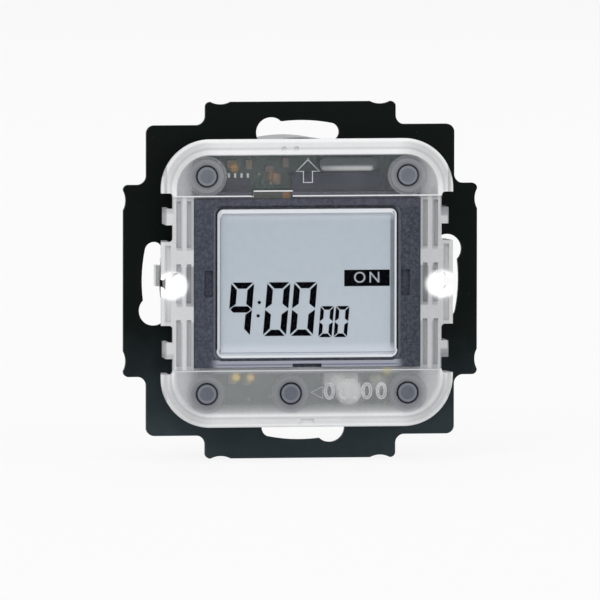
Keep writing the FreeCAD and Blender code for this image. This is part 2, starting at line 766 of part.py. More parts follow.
def make_support_plate():
    body = new_body("plate_body")
    front = "-plate_thickness"
    pad(body, "plate_square", "0", front, centred("plate_shoulder_width / 2", "plate_shoulder_width / 2"))
    pad(body, "plate_upright_arms", "0", front, centred("plate_arm_width / 2", "plate_width / 2"))
    pad(body, "plate_level_arms", "0", front, centred("plate_width / 2", "plate_arm_width / 2"))
    arm = "plate_arm_width / 2"
    shoulder = "plate_shoulder_width / 2"
    tip = "plate_width / 2"
    fillet(body, "plate_corners", "plate_corner_radius", [(shoulder, shoulder)])
    fillet(body, "plate_steps", "plate_step_radius", [(arm, shoulder), (shoulder, arm)])
    fillet(body, "plate_arm_tips", "plate_arm_radius", [(arm, tip), (tip, arm)])

    notch_middle = "plate_width / 2 - edge_notch_depth + edge_notch_radius"
    notch_side = "edge_notch_spacing / 2"
    notches = []
    for turn in ("", "-"):
        for side in ("", "-"):
            notches.append(disc(f"{side}{notch_side}", f"{turn}({notch_middle})", "edge_notch_radius"))
            notches.append(disc(f"{turn}({notch_middle})", f"{side}{notch_side}", "edge_notch_radius"))
    pocket(body, "edge_notches", "0", front, *notches)

    slot = pocket(body, "box_screw_slot", "0", front,
                  arc_slot("box_screw_circle / 2", "slot_width", "slot_half_angle"))
    keyhole = pocket(body, "keyhole", "0", front, disc(*KEYHOLES[0], "keyhole_radius"))
    pattern = body.newObject("PartDesign::PolarPattern", "four_slots")
    pattern.Originals = [slot, keyhole]
    pattern.Axis = ([item for item in body.Origin.OriginFeatures if item.Role == "Y_Axis"][0], [""])
    pattern.Angle = 360
    pattern.Occurrences = 4
    body.Tip = pattern
    doc.recompute()

    pocket(body, "plate_opening", "0", front, centred(*PLUG_OPENING))
    claw_hole = "claw_screw_radius + claw_screw_clearance"
    pocket(body, "plate_holes", "0", front,
           disc("-claw_screw_x", "0", claw_hole),
           disc("claw_screw_x", "0", claw_hole),
           *[disc(x, z, "module_screw_radius + screw_gap") for x, z in MODULE_SCREWS],
           *[disc(x, z, "housing_screw_radius + screw_gap") for x, z in HOUSING_SCREWS])
    sink = []
    for name, edge in edges_in_plane(body.Shape, front):
        round_edge = edge.Curve.TypeId == "Part::GeomCircle"
        if round_edge and abs(edge.Curve.Radius - number("housing_screw_radius + screw_gap")) < 1e-6:
            sink.append(name)
    dress(body, "Chamfer", "countersinks", "Size", "housing_screw_head_radius - housing_screw_radius", sink)

    ears = []
    for side in ("-", ""):
        for level in ("-", ""):
            x = f"{side}{CLAW_PIVOT_X}"
            z = f"{level}({EAR_START} + ear_thickness / 2)"
            ears.append(rectangle_at(x, z, "ear_half_width", "ear_thickness / 2"))
    pad(body, "ears", "0", "ear_length", *ears)
    holes = sketch_at(body, "ear_hole_sketch", "0", plane="XY_Plane")
    for side in ("-", ""):
        disc(f"{side}{CLAW_PIVOT_X}", "claw_pivot_y", "claw_pin_radius + claw_pin_gap")(holes)
    bore = body.newObject("PartDesign::Pocket", "ear_holes")
    bore.Profile = holes
    bore.Type = "ThroughAll"
    bore.Midplane = True
    doc.recompute()
    node("support_plate", body)


# Front cover: frosted clear moulding with a rounded outline, a lower band across
# the middle, an opening for the display bezel and five guided button holes.

def make_front_cover():
    body = new_body("cover_body")
    front = "-cover_front"
    half_width = "cover_half_width"
    half_height = "cover_half_height"
    edge_end = "(-cover_front + cover_edge_depth)"
    skirt_end = "(-cover_front + cover_skirt_depth)"
    outline = rounded(half_width, half_height, "cover_corner_radius")
    pad(body, "cover_plate", edge_end, front, outline)
    pad(body, "cover_skirt", edge_end, skirt_end, outline, draft="-cover_skirt_draft")
    rim = [name for name, edge in edges_in_plane(body.Shape, front)]
    dress(body, "Fillet", "cover_front_edge", "Radius", "cover_edge_radius", rim)

    inner_width = "(cover_half_width - cover_skirt_wall)"
    inner_height = "(cover_half_height - cover_skirt_wall)"
    pocket(body, "cover_hollow", COVER_INSIDE, skirt_end,
           rounded(inner_width, inner_height, "(cover_corner_radius - cover_skirt_wall)"))
    lobe = "(side_lobe_height / 2)"
    relief_width = "(frame_lobe_half_width + frame_clearance)"
    relief_height = f"({lobe} - frame_recess_gap + frame_clearance)"
    pocket(body, "lobe_relief", COVER_INSIDE, skirt_end, centred(relief_width, relief_height))

    recess_x = "(cover_half_width - side_recess_depth)"
    tab_x = "(cover_half_width - side_tab_inset)"
    beyond = "(cover_half_width + 1)"
    steps = [
        (recess_x, "side_tab_top", "side_recess_top"),
        (tab_x, "side_tab_bottom", "side_tab_top"),
        (recess_x, lobe, "side_tab_bottom"),
    ]
    for index, (x, low, high) in enumerate(steps):
        pieces = [
            rectangle(x, beyond, low, high),
            rectangle(x, beyond, f"-{high}", f"-{low}"),
            rectangle(f"-{beyond}", f"-{x}", low, high),
            rectangle(f"-{beyond}", f"-{x}", f"-{high}", f"-{low}"),
        ]
        pocket(body, f"side_recess_{index}", front, skirt_end, *pieces)
    fillet(body, "recess_corners", "recess_corner_radius",
           [(recess_x, "side_recess_top"), (recess_x, lobe)])

    band = "(band_half_height)"
    pocket(body, "band", front, BAND_FACE, centred(beyond, band))
    opening_width = "(carrier_half_width + frame_clearance / 2)"
    opening_height = "(carrier_half_height + frame_clearance / 2)"
    pocket(body, "display_opening", front, COVER_INSIDE, centred(opening_width, opening_height))
    pocket(body, "band_notch", front, COVER_INSIDE,
           rectangle("-band_notch_left", "-band_notch_right", f"{opening_height} - 0.1",
                     f"{band} + band_notch_height"))

    pocket(body, "button_dishes", front, "-cover_front + button_dish_depth",
           *[disc(x, z, "button_dish_radius") for x, z in BUTTONS.values()])
    pad(body, "button_guides", COVER_INSIDE, f"{COVER_INSIDE} + button_guide_depth",
        *[disc(x, z, "button_guide_radius") for x, z in BUTTONS.values()])
    pocket(body, "button_holes", front, f"{COVER_INSIDE} + button_guide_depth",
           *[disc(x, z, "button_radius + button_gap") for x, z in BUTTONS.values()])

    first = "rail_groove_inner"
    second = "(rail_groove_inner + rail_groove_spacing)"
    tab_outer = "(cover_half_width - tab_groove_inset)"
    tab_end = f"({lobe} - tab_groove_end)"
    window = "rail_window_half_height"
    notch_side = "(access_notch_radius + rail_window_gap)"
    places = [
        (first, "rail_groove_width", f"-{window}", window),
        (f"({tab_outer} - tab_groove_width)", "tab_groove_width", f"-{tab_end}", tab_end),
    ]
    for low, high in (("rail_groove_bottom", "rail_groove_top"), ("-rail_groove_top", "-rail_groove_bottom")):
        places.append((first, "rail_groove_width", low, high))
        places.append((second, "rail_groove_width", low, high))
    for low, high in ((notch_side, window), (f"-{window}", f"-{notch_side}")):
        places.append((second, "rail_groove_width", low, high))
    grooves = []
    for side in (1, -1):
        for inner, width, low, high in places:
            xs = [f"{side} * {inner}", f"{side} * ({inner} + {width})"]
            grooves.append(rectangle(*xs[::side], low, high))
    pocket(body, "rail_grooves", BAND_FACE, f"{BAND_FACE} + rail_groove_depth", *grooves)

    pocket(body, "access_notches", front, skirt_end,
           disc("-access_notch_x", "0", "access_notch_radius"),
           disc("access_notch_x", "0", "access_notch_radius"))
    pocket(body, "access_mouths", front, skirt_end,
           rectangle("access_notch_x", beyond, "-access_mouth_half_height", "access_mouth_half_height"),
           rectangle(f"-{beyond}", "-access_notch_x", "-access_mouth_half_height",
                     "access_mouth_half_height"))

    pit = "latch_pit_size / 2"
    pit_z = "(cover_half_height - frame_inset)"
    pits = []
    for side in ("-", "+"):
        x = f"(-latch_x {side} latch_width / 2)"
        pits.append(rectangle_at(x, pit_z, pit, pit))
    catch_top = f"(-cover_half_height + {pit} + catch_height)"
    catch_low = f"({catch_top} - catch_height)"
    pits.append(profile([
        ("-catch_half_width", catch_low),
        ("catch_half_width", catch_low),
        ("catch_half_width - catch_slope", catch_top),
        ("-catch_half_width + catch_slope", catch_top),
    ]))
    pocket(body, "latch_pits", front, "-cover_front + latch_pit_depth", *pits)

    window_front = f"({COVER_INSIDE} + latch_setback - frame_clearance)"
    window_back = f"({COVER_INSIDE} + latch_setback + latch_depth + frame_clearance)"
    window_middle = f"({inner_height} / 2 + cover_half_height / 2)"
    window_half_height = f"(cover_half_height / 2 - {inner_height} / 2 + 0.1)"
    window_half_width = "(latch_width / 2 + frame_clearance)"
    pocket(body, "latch_windows", window_front, window_back,
           rectangle_at("-latch_x", window_middle, window_half_width, window_half_height),
           rectangle_at("0", f"-{window_middle}", window_half_width, window_half_height))
    node("front_cover", body)


# Frame: frosted tray that sits on the plate, carries the boards and guides the
# claw screws in its two side lobes. Two noses latch the cover.

def make_module_frame():
    body = new_body("frame_body")
    back = "-plate_thickness"
    front = f"({COVER_INSIDE} + frame_front_gap)"
    half_width = "(cover_half_width - frame_inset)"
    half_height = "(cover_half_height - frame_inset)"
    pad(body, "tray", back, front, rounded(half_width, half_height, "(cover_corner_radius - frame_inset)"))
    recess_x = "(cover_half_width - side_recess_depth - frame_inset)"
    lobe = "(side_lobe_height / 2 - frame_recess_gap)"
    recess_top = "(side_recess_top + frame_recess_gap)"
    beyond = "(cover_half_width)"
    pieces = []
    for low, high in ((lobe, recess_top), (f"-{recess_top}", f"-{lobe}")):
        pieces.append(rectangle(recess_x, beyond, low, high))
        pieces.append(rectangle(f"-{beyond}", f"-{recess_x}", low, high))
    pocket(body, "side_recesses", back, front, *pieces)
    pad(body, "lobes", back, front, centred("frame_lobe_half_width", lobe))

    pocket(body, "hollow", front, FRAME_FLOOR,
           rounded("frame_side_inner", "frame_end_inner", "frame_hollow_radius"))
    pocket(body, "floor_opening", FRAME_FLOOR, back, centred(*PLUG_OPENING))
    seat = "-claw_screw_seat"
    pocket(body, "claw_seats", front, seat,
           centred("(frame_lobe_half_width + 1)", "claw_seat_half_height"))
    claw_hole = "claw_screw_radius + claw_screw_clearance"
    pocket(body, "claw_screw_bores", seat, back,
           disc("-claw_screw_x", "0", claw_hole),
           disc("claw_screw_x", "0", claw_hole))
    pad(body, "board_posts", FRAME_FLOOR, BOARD_BACK,
        *[disc(x, z, "board_post_radius") for x, z in BOARD_POSTS])
    pocket(body, "module_screw_holes", FRAME_FLOOR, back,
           *[disc(x, z, "module_screw_radius + screw_gap") for x, z in MODULE_SCREWS])

    nose_front = f"({COVER_INSIDE} + latch_setback)"
    nose_back = f"({nose_front} + latch_depth)"
    pad(body, "latch_noses", nose_back, nose_front,
        rectangle("-latch_x - latch_width / 2", "-latch_x + latch_width / 2",
                  f"{half_height} - frame_wall / 2", f"{half_height} + latch_height"),
        rectangle("-latch_width / 2", "latch_width / 2",
                  f"-{half_height} - latch_height", f"-{half_height} + frame_wall / 2"))
    node("module_frame", body)


# Display: dark bezel that clamps the glass and the contact strips on the board.

def make_display_carrier():
    body = new_body("carrier_body")
    pad(body, "carrier_base", BOARD_FRONT, GLASS_FRONT,
        rounded("carrier_half_width", "carrier_base_half_height", "carrier_corner_radius"))
    pad(body, "carrier_raised", GLASS_FRONT, CARRIER_FACE,
        centred("carrier_half_width", "carrier_half_height"))
    pocket(body, "glass_room", BOARD_FRONT, GLASS_FRONT,
           centred("(glass_half_width + glass_gap)", "(glass_half_height + glass_gap)"))
    pocket(body, "window", CARRIER_FACE, GLASS_FRONT,
           rounded("window_half_width", "window_half_height", "window_radius"))
    rim = []
    for name, edge in edges_in_plane(body.Shape, CARRIER_FACE):
        middle = edge.CenterOfMass
        near_window = abs(middle.x) < number("window_half_width + 0.01")
        if near_window and abs(middle.z) < number("window_half_height + 0.01"):
            rim.append(name)
    dress(body, "Chamfer", "window_rim", "Size", "window_bevel", rim)
    slot_back = f"{CARRIER_FACE} + carrier_slot_depth"
    slots = []
    for side in ("-", ""):
        slots.append(rectangle_at(f"{side}carrier_slot_x", "0", "carrier_slot_width / 2",
                                  "carrier_slot_height / 2"))
    pocket(body, "carrier_slots", CARRIER_FACE, slot_back, *slots)
    pocket(body, "carrier_mark", CARRIER_FACE, slot_back,
           rectangle("-carrier_mark_width / 2", "carrier_mark_width / 2",
                     "-carrier_half_height - 0.1", "-carrier_half_height + carrier_mark_height - 0.05"))
    pocket(body, "chip_relief", BOARD_FRONT, f"{BOARD_FRONT} - chip_relief_height",
           rectangle("memory_chip_x - memory_chip_width", "-band_notch_right", "glass_half_height",
                     "carrier_base_half_height + 0.1"))
    pocket(body, "carrier_pilots", BOARD_FRONT, f"{BOARD_FRONT} - board_screw_length",
           *[disc(x, z, "board_screw_radius + screw_gap") for x, z in BOARD_SCREWS])
    node("display_carrier", body)


def make_display():
    lens = new_body("lens_body")
    lens_back = f"({GLASS_FRONT} - lens_rest)"
    lens_outline = rounded("(window_half_width - lens_gap)", "(window_half_height - lens_gap)",
                           "(window_radius - lens_gap)")
    pad(lens, "lens_plate", lens_back, f"{lens_back} - lens_thickness", lens_outline)
    node("display_window", lens)

    front_glass = block("front_glass", "-glass_half_width", "glass_half_width", GLASS_FRONT, GLASS_STEP,
                        "-glass_half_height", "glass_half_height")
    inner = "(glass_half_height - glass_ledge)"
    rear_glass = block("rear_glass", "-glass_half_width", "glass_half_width", GLASS_STEP, GLASS_BACK,
                       f"-{inner}", inner)
    node("lcd_panel", fuse("glass_stack", front_glass, rear_glass))
    node("lcd_reflector", block("reflector", "-window_half_width", "window_half_width", GLASS_BACK,
                                f"{GLASS_BACK} + reflector_thickness", f"-{inner}", inner))
    strips = []
    for name, low in (("strip_low", "-glass_half_height + strip_inset"),
                      ("strip_high", "glass_half_height - strip_inset - strip_width")):
        strips.append(block(name, "-strip_half_length", "strip_half_length", GLASS_STEP, BOARD_FRONT,
                            low, f"{low} + strip_width"))
    node("contact_strips", group("strips", *strips))


# Display board and the parts soldered to it

def make_display_board():
    body = new_body("board_body")
    pad(body, "board_plate", BOARD_BACK, BOARD_FRONT,
        rounded("board_half_width", "board_half_height", "frame_hollow_radius"))
    pocket(body, "board_screw_holes", BOARD_BACK, BOARD_FRONT,
           *[disc(x, z, "board_screw_radius + screw_gap") for x, z in BOARD_SCREWS])
    node("display_board", body)

    switches = []
    for name, (x, z) in BUTTONS.items():
        case_front = f"({BOARD_FRONT} - switch_height)"
        case = block_at(f"{name}_case", x, z, "switch_size / 2", "switch_size / 2", case_front, BOARD_FRONT)
        plunger = rod(f"{name}_plunger", "Y", x, f"{case_front} - switch_plunger_height", z,
                      "switch_plunger_radius", "switch_plunger_height")
        switches.append(fuse(f"{name}_switch", case, plunger))
    node("button_switches", group("switches", *switches))


def chip(label, leads, rows_across):
    """A moulded chip whose rows of leads stand on the board."""
    x, z = f"{label}_x", f"{label}_z"
    half_width, half_height = f"{label}_width / 2", f"{label}_height / 2"
    back = f"({BOARD_FRONT} - chip_standoff)"
    middle = f"({BOARD_FRONT} - {label}_depth / 2)"
    parts = [block_at(f"{label}_case", x, z, half_width, half_height, f"{back} - {label}_depth", back)]
    half_lead = "chip_lead_width / 2"
    for index in range(leads):
        offset = f"({index - (leads - 1) / 2} * {label}_pitch)"
        parts.append(block_at(f"{label}_lead_{index}", f"({x} + {offset})", z, half_lead,
                              f"({half_height} + chip_lead_reach)", middle, BOARD_FRONT))
        if rows_across:
            parts.append(block_at(f"{label}_side_lead_{index}", x, f"({z} + {offset})",
                                  f"({half_width} + chip_lead_reach)", half_lead, middle, BOARD_FRONT))
    node(label, fuse(f"{label}_whole", *parts))


def standing_case(label, base, sign):
    """A rounded case on a board's face; sign is the way it stands along Y."""
    case = new_body(f"{label}_body")
    pad(case, f"{label}_case", base, f"{base} {sign} {label}_depth",
        rectangle_at(f"{label}_x", f"{label}_z", f"{label}_width / 2", f"{label}_height / 2"))
    upright = [f"Edge{index}" for index, edge in enumerate(case.Shape.Edges, 1) if is_along_y(edge)]
    dress(case, "Fillet", f"{label}_rounding", "Radius", f"{label}_corner", upright)
    node(label, case)


# Chip capacitors on the display board: (x, side, rise, width, height, depth), where
# the rise is counted upwards (1) or downwards (-1) from the display's carrier
CHIP_CAPACITORS = [
    (-14.4, 1, 5.4, 2.0, 1.4, 0.9),
    (-11.0, 1, 5.3, 1.2, 1.8, 0.9),
    (-6.9, 1, 4.4, 1.6, 1.2, 0.8),
    (-5.4, 1, 2.4, 1.4, 2.2, 1.1),
    (-3.6, 1, 5.6, 1.2, 1.8, 0.8),
    (-14.4, -1, 1.4, 1.6, 2.0, 0.9),
    (-11.3, -1, 1.5, 1.4, 2.0, 0.9),
    (14.4, -1, 1.2, 2.2, 1.4, 0.9),
]


def make_board_parts():
    chip("memory_chip", 4, rows_across=False)
    chip("main_chip", 9, rows_across=True)
    standing_case("crystal", BOARD_FRONT, "-")
    standing_case("backup_cell", BOARD_FRONT, "-")

    pieces = []
    for index, (x, side, rise, width, height, depth) in enumerate(CHIP_CAPACITORS):
        z = f"({side} * (carrier_base_half_height + {rise}))"
        pieces.append(block_at(f"chip_capacitor_{index}", x, z, width / 2, height / 2,
                               f"{BOARD_FRONT} - {depth}", BOARD_FRONT))
    node("chip_capacitors", group("capacitor_set", *pieces))

    post = rod("post_round", "Y", "spacer_x", f"{BOARD_FRONT} - spacer_depth", "spacer_z", "spacer_radius",
               "spacer_depth")
    foot = block_at("post_block", "spacer_foot_x", "spacer_foot_z", "spacer_foot_width / 2",
                    "spacer_foot_height / 2", f"{BOARD_FRONT} - spacer_foot_depth", BOARD_FRONT)
    node("spacer_post", fuse("post_whole", post, foot))


def make_screw(name, head_radius, head_height, radius, length, slot=True):
    """A screw along +Y: its head's underside is at its own origin."""
    body = new_body(name)
    revolve(body, f"{name}_turned", [
        ("0", f"-({head_height})"),
        (head_radius, f"-({head_height})"),
        (head_radius, "0"),
        (radius, "0"),
        (radius, length),
        ("0", length),
    ])
    if slot:
        pocket(body, f"{name}_slot", f"-({head_height})", f"-({head_height}) + drive_slot_depth",
               centred(f"({head_radius} + 0.1)", "drive_slot_width / 2"))
    return body


def place(item, x, y, z):
    bind(item, "Placement.Base.x", x)
    bind(item, "Placement.Base.y", y)
    bind(item, "Placement.Base.z", z)


def make_small_screws():
    screws = []
    for index, (x, z) in enumerate(BOARD_SCREWS):
        body = make_screw(f"board_screw_{index}", "board_screw_head_radius", "board_screw_head_height",
                          "board_screw_radius", "board_thickness + board_screw_length - 0.2")
        body.Placement = FreeCAD.Placement(FreeCAD.Vector(), BACK_TO_FRONT)
        place(body, x, BOARD_BACK, z)
        screws.append(body)
    node("board_screws", group("board_screw_set", *screws))

    screws = []
    for index, (x, z) in enumerate(MODULE_SCREWS):
        body = make_screw(f"module_screw_{index}", "module_screw_head_radius", "module_screw_head_height",
                          "module_screw_radius", "frame_floor + plate_thickness")
        place(body, x, FRAME_FLOOR, z)
        screws.append(body)
    node("module_screws", group("module_screw_set", *screws))

    screws = []
    sink = "(housing_screw_head_radius - housing_screw_radius)"
    for index, (x, z) in enumerate(HOUSING_SCREWS):
        body = new_body(f"housing_screw_{index}")
        revolve(body, f"housing_screw_{index}_turned", [
            ("0", "0"),
            ("housing_screw_head_radius", "0"),
            ("housing_screw_radius", sink),
            ("housing_screw_radius", "housing_screw_length"),
            ("0", "housing_screw_length"),
        ])
        pocket(body, f"housing_screw_{index}_slot", "0", "drive_slot_depth",
               centred("housing_screw_head_radius", "drive_slot_width / 2"))
        place(body, x, "-plate_thickness", z)
        screws.append(body)
    node("housing_screws", group("housing_screw_set", *screws))


# Buttons: a round head in the cover's hole, a flange that keeps it in, and a stem

def make_buttons():
    flange_end = "(button_head_length + button_flange_thickness)"
    for label, (x, z) in BUTTONS.items():
        body = new_body(f"{label}_body")
        revolve(body, f"{label}_turned", [
            ("0", "0"),
            ("button_radius", "0"),
            ("button_radius", "button_head_length"),
            ("button_flange_radius", "button_head_length"),
            ("button_flange_radius", flange_end),
            ("button_stem_radius", flange_end),
            ("button_stem_radius", f"{flange_end} + button_stem_length"),
            ("0", f"{flange_end} + button_stem_length"),
        ])
        place(body, x, "-cover_front + button_sink", z)
        node(label, body)


# Plug connection between the boards: eight by two square pins

PIN_COLUMNS = 8
PIN_ROWS = 2


def pin_places():
    for column in range(PIN_COLUMNS):
        for row in range(PIN_ROWS):
            yield (f"({column - (PIN_COLUMNS - 1) / 2} * header_pitch)",
                   f"({row - (PIN_ROWS - 1) / 2} * header_pitch)")


def make_plug():
    half_width = f"({(PIN_COLUMNS - 1) / 2} * header_pitch + header_edge)"
    half_height = f"({(PIN_ROWS - 1) / 2} * header_pitch + header_edge)"
    parts = [block_at("header_strip", "0", "0", half_width, half_height, BOARD_BACK,
                      f"{BOARD_BACK} + header_body_depth")]
    half_pin = "header_pin / 2"
    for index, (x, z) in enumerate(pin_places()):
        parts.append(block_at(f"header_pin_{index}", x, z, half_pin, half_pin, BOARD_BACK, "header_pin_end"))
    node("board_header", fuse("header_whole", *parts))

    body = new_body("socket_body")
    pad(body, "socket_case", "power_board_front", "-socket_front",
        centred(f"({half_width} + 0.2)", f"({half_height} + 0.2)"))
    pocket(body, "socket_holes", "-socket_front", "header_pin_end + socket_pin_room",
           *[disc(x, z, "socket_pin_radius") for x, z in pin_places()])
    node("header_socket", body)


# Claws: a screw from the front draws a wedge nut forwards, whose bar runs on the
# claw's sloping edges and swings the claw outwards about its pins in the ears.

def make_claw(side, label):
    x = f"{side} * claw_screw_x"
    screw = make_screw(f"claw_screw_{label}_body", "claw_screw_head_radius", "claw_screw_head_height",
                       "claw_screw_radius", "claw_screw_seat + claw_screw_tip")
    place(screw, x, "-claw_screw_seat", "0")
    node(f"claw_screw_{label}", screw)

    def across(name, near, far, front, back, low, high):
        """A block whose X places are counted outwards from the claw screw."""
        xs = sorted((f"{x} + {side} * ({near})", f"{x} + {side} * ({far})"), key=number)
        return block(f"{name}_{label}", xs[0], xs[1], front, back, low, high)

    nut_end = "(nut_rest + nut_length)"
    bar = across("nut_bar", "-nut_bar_inner", "-nut_bar_outer", "nut_rest", nut_end,
                 "-nut_bar_half_height", "nut_bar_half_height")
    core = across("nut_core", "-nut_bar_outer", "nut_block_outer", "nut_rest", nut_end,
                  "-nut_block_half_height", "nut_block_half_height")
    thread = rod(f"nut_thread_{label}", "Y", x, "nut_rest - 1", "0", "claw_screw_radius + claw_thread_gap",
                 "nut_length + 2")
    node(f"claw_nut_{label}", cut(f"nut_{label}", fuse(f"nut_solid_{label}", bar, core), thread))

    pivot = f"({side} * {CLAW_PIVOT_X})"
    arms = []
    for name, start in (("upper", "claw_arm_inner"), ("lower", "-claw_arm_inner - claw_arm_thickness")):
        arm = new_body(f"claw_arm_{name}_{label}")
        sketch = sketch_at(arm, f"claw_arm_{name}_{label}_sketch", start, plane="XY_Plane")
        root = "claw_root_radius"
        outer = f"{pivot} + {side} * claw_outer_offset"
        far = f"{pivot} + {side} * claw_far_offset"
        points = [
            (f"{pivot} - {side} * {root}", "claw_pivot_y - 1"),
            (f"{pivot} - {side}", f"claw_pivot_y - {root}"),
            (f"{pivot} + {side} * 1.6", f"claw_pivot_y - {root}"),
            (outer, "claw_pivot_y - 0.8"),
            (far, "claw_length - 3.6"),
            (f"{far} + {side} * claw_tooth", "claw_length - 2.4"),
            (far, "claw_length - 2.2"),
            (f"{far} + {side} * claw_tooth", "claw_length"),
            (f"{pivot} - {side} * 0.2", "claw_length"),
            (f"{pivot} - {side} * 0.5", "nut_rest + 0.2"),
            (f"{pivot} - {side} * 2.45", "claw_pivot_y + 6"),
            (f"{pivot} - {side} * {root}", "claw_pivot_y + 4"),
        ]
        profile(points)(sketch)
        slab = arm.newObject("PartDesign::Pad", f"claw_slab_{name}_{label}")
        slab.Profile = sketch
        bind(slab, "Length", "claw_arm_thickness")
        arms.append(arm)
    bridge = across("claw_bridge", "-claw_pivot_offset - 0.2", "-claw_pivot_offset + claw_far_offset",
                    "claw_length - claw_bridge_thickness", "claw_length", "-claw_arm_inner", "claw_arm_inner")
    pin_start = "(claw_arm_inner + claw_arm_thickness / 2)"
    pin_length = "(claw_arm_thickness / 2 + ear_gap + ear_thickness + 0.3)"
    high_pin = rod(f"claw_pin_high_{label}", "Z", pivot, "claw_pivot_y", pin_start,
                   "claw_pin_radius", pin_length)
    low_pin = rod(f"claw_pin_low_{label}", "Z", pivot, "claw_pivot_y", f"-{pin_start} - {pin_length}",
                  "claw_pin_radius", pin_length)
    node(f"claw_{label}", fuse(f"claw_whole_{label}", *arms, bridge, high_pin, low_pin))


# Rear housing: a round box with two flats, a cell for the power board and four
# terminal chambers, whose wires enter from below and screws are reached from behind.

def round_block(name, radius, half_width, front, back, low, high):
    """A block whose corners are cut by a circle about the Y axis."""
    core = block(f"{name}_core", f"-({half_width})", half_width, front, back, low, high)
    drum = rod(f"{name}_drum", "Y", "0", front, "0", radius, f"({back}) - ({front})")
    return common(name, core, drum)


POST_PLACES = [
    ("-housing_post_x", "-housing_post_low_z"),
    ("housing_post_x", "-housing_post_low_z"),
    ("-housing_post_high_x", "housing_post_high_z"),
    ("housing_post_high_x", "housing_post_high_z"),
]


def make_rear_housing():
    cell_back = HOLLOW_END
    outer = round_block("housing_outer", "housing_radius", "housing_half_width", "0", "housing_depth",
                        "-hollow_bottom - housing_wall", "housing_radius")
    lower = round_block("housing_lower", "housing_radius", "housing_half_width", "0", "terminal_depth",
                        "-housing_bottom", "-hollow_bottom")
    flange = round_block("housing_flange", "housing_flange_radius", "housing_half_width", "0",
                         "housing_flange_depth", "-housing_flange_radius", "housing_flange_radius")
    inner_width = "(housing_half_width - housing_wall)"
    inner_radius = "(housing_radius - housing_wall)"
    hollow = round_block("housing_hollow", inner_radius, inner_width, "0", cell_back,
                         "-hollow_bottom", "hollow_top")
    tools = [hollow]
    ledge_radius = f"({inner_radius} + lid_ledge)"
    tools.append(round_block("lid_room", ledge_radius, f"{inner_width} + lid_ledge", "0", "lid_thickness",
                             "-hollow_bottom - lid_ledge", "hollow_top + lid_ledge"))
    chamber_top = "(-terminal_z + chamber_half_height)"
    row_half = "(1.5 * terminal_pitch + chamber_half_width + lid_ledge)"
    tools.append(block("lid_room_low", f"-{row_half}", row_half, "0", "lid_thickness",
                       "-terminal_z - chamber_half_height - lid_ledge", "-hollow_bottom"))
    chamber_end = "(terminal_depth - housing_wall)"
    for index, x in enumerate(TERMINALS):
        tools.append(block_at(f"chamber_{index}", x, "-terminal_z", "chamber_half_width",
                              "chamber_half_height", "0", chamber_end))
        slot_half = "(bar_half_width + bar_slot_gap)"
        tools.append(block(f"bar_slot_{index}", f"{x} - {slot_half}", f"{x} + {slot_half}", "0",
                           "bar_front + bar_thickness + bar_slot_gap", f"{chamber_top} - 0.1",
                           "-hollow_bottom + 0.1"))
        tools.append(rod(f"wire_bore_{index}", "Z", x, "wire_y", "-housing_bottom - 1", "wire_radius",
                         "housing_bottom - terminal_z"))
        tools.append(rod(f"screw_access_{index}", "Y", x, f"{chamber_end} - 1", "-terminal_z",
                         "screw_access_radius", "housing_wall + 2"))
    for index, (x, z) in enumerate(HOUSING_SCREWS):
        tools.append(rod(f"housing_pilot_{index}", "Y", x, "0", z, "housing_screw_radius + screw_gap",
                         "housing_screw_length"))
    for index, (x, z) in enumerate(KEYHOLES):
        tools.append(rod(f"keyhole_room_{index}", "Y", x, "0", z, "keyhole_radius + keyhole_clearance",
                         "housing_flange_depth"))
    shell = cut("housing_shell", fuse("housing_solid", outer, lower, flange), *tools)
    posts = []
    for index, (x, z) in enumerate(POST_PLACES):
        posts.append(rod(f"housing_post_{index}", "Y", x, POWER_BOARD_BACK, z, "housing_post_radius",
                         f"{cell_back} - {POWER_BOARD_BACK} + 0.2"))
    node("rear_housing", fuse("housing_whole", shell, *posts))


def make_housing_lid():
    rim = "(lid_ledge - lid_gap)"
    upper = round_block("lid_upper", f"(housing_radius - housing_wall + {rim})",
                        f"(housing_half_width - housing_wall + {rim})", "0", "lid_thickness",
                        f"-hollow_bottom - {rim}", f"hollow_top + {rim}")
    row_half = f"(1.5 * terminal_pitch + chamber_half_width + {rim})"
    lower = block("lid_lower", f"-{row_half}", row_half, "0", "lid_thickness",
                  f"-terminal_z - chamber_half_height - {rim}", "-hollow_bottom")
    opening = block_at("lid_opening", "0", "0", *PLUG_OPENING, "-1", "lid_thickness + 1")
    node("housing_lid", cut("lid_plate", fuse("lid_solid", upper, lower), opening))


# Power board with the relay and the parts of its supply

DIODES = 4


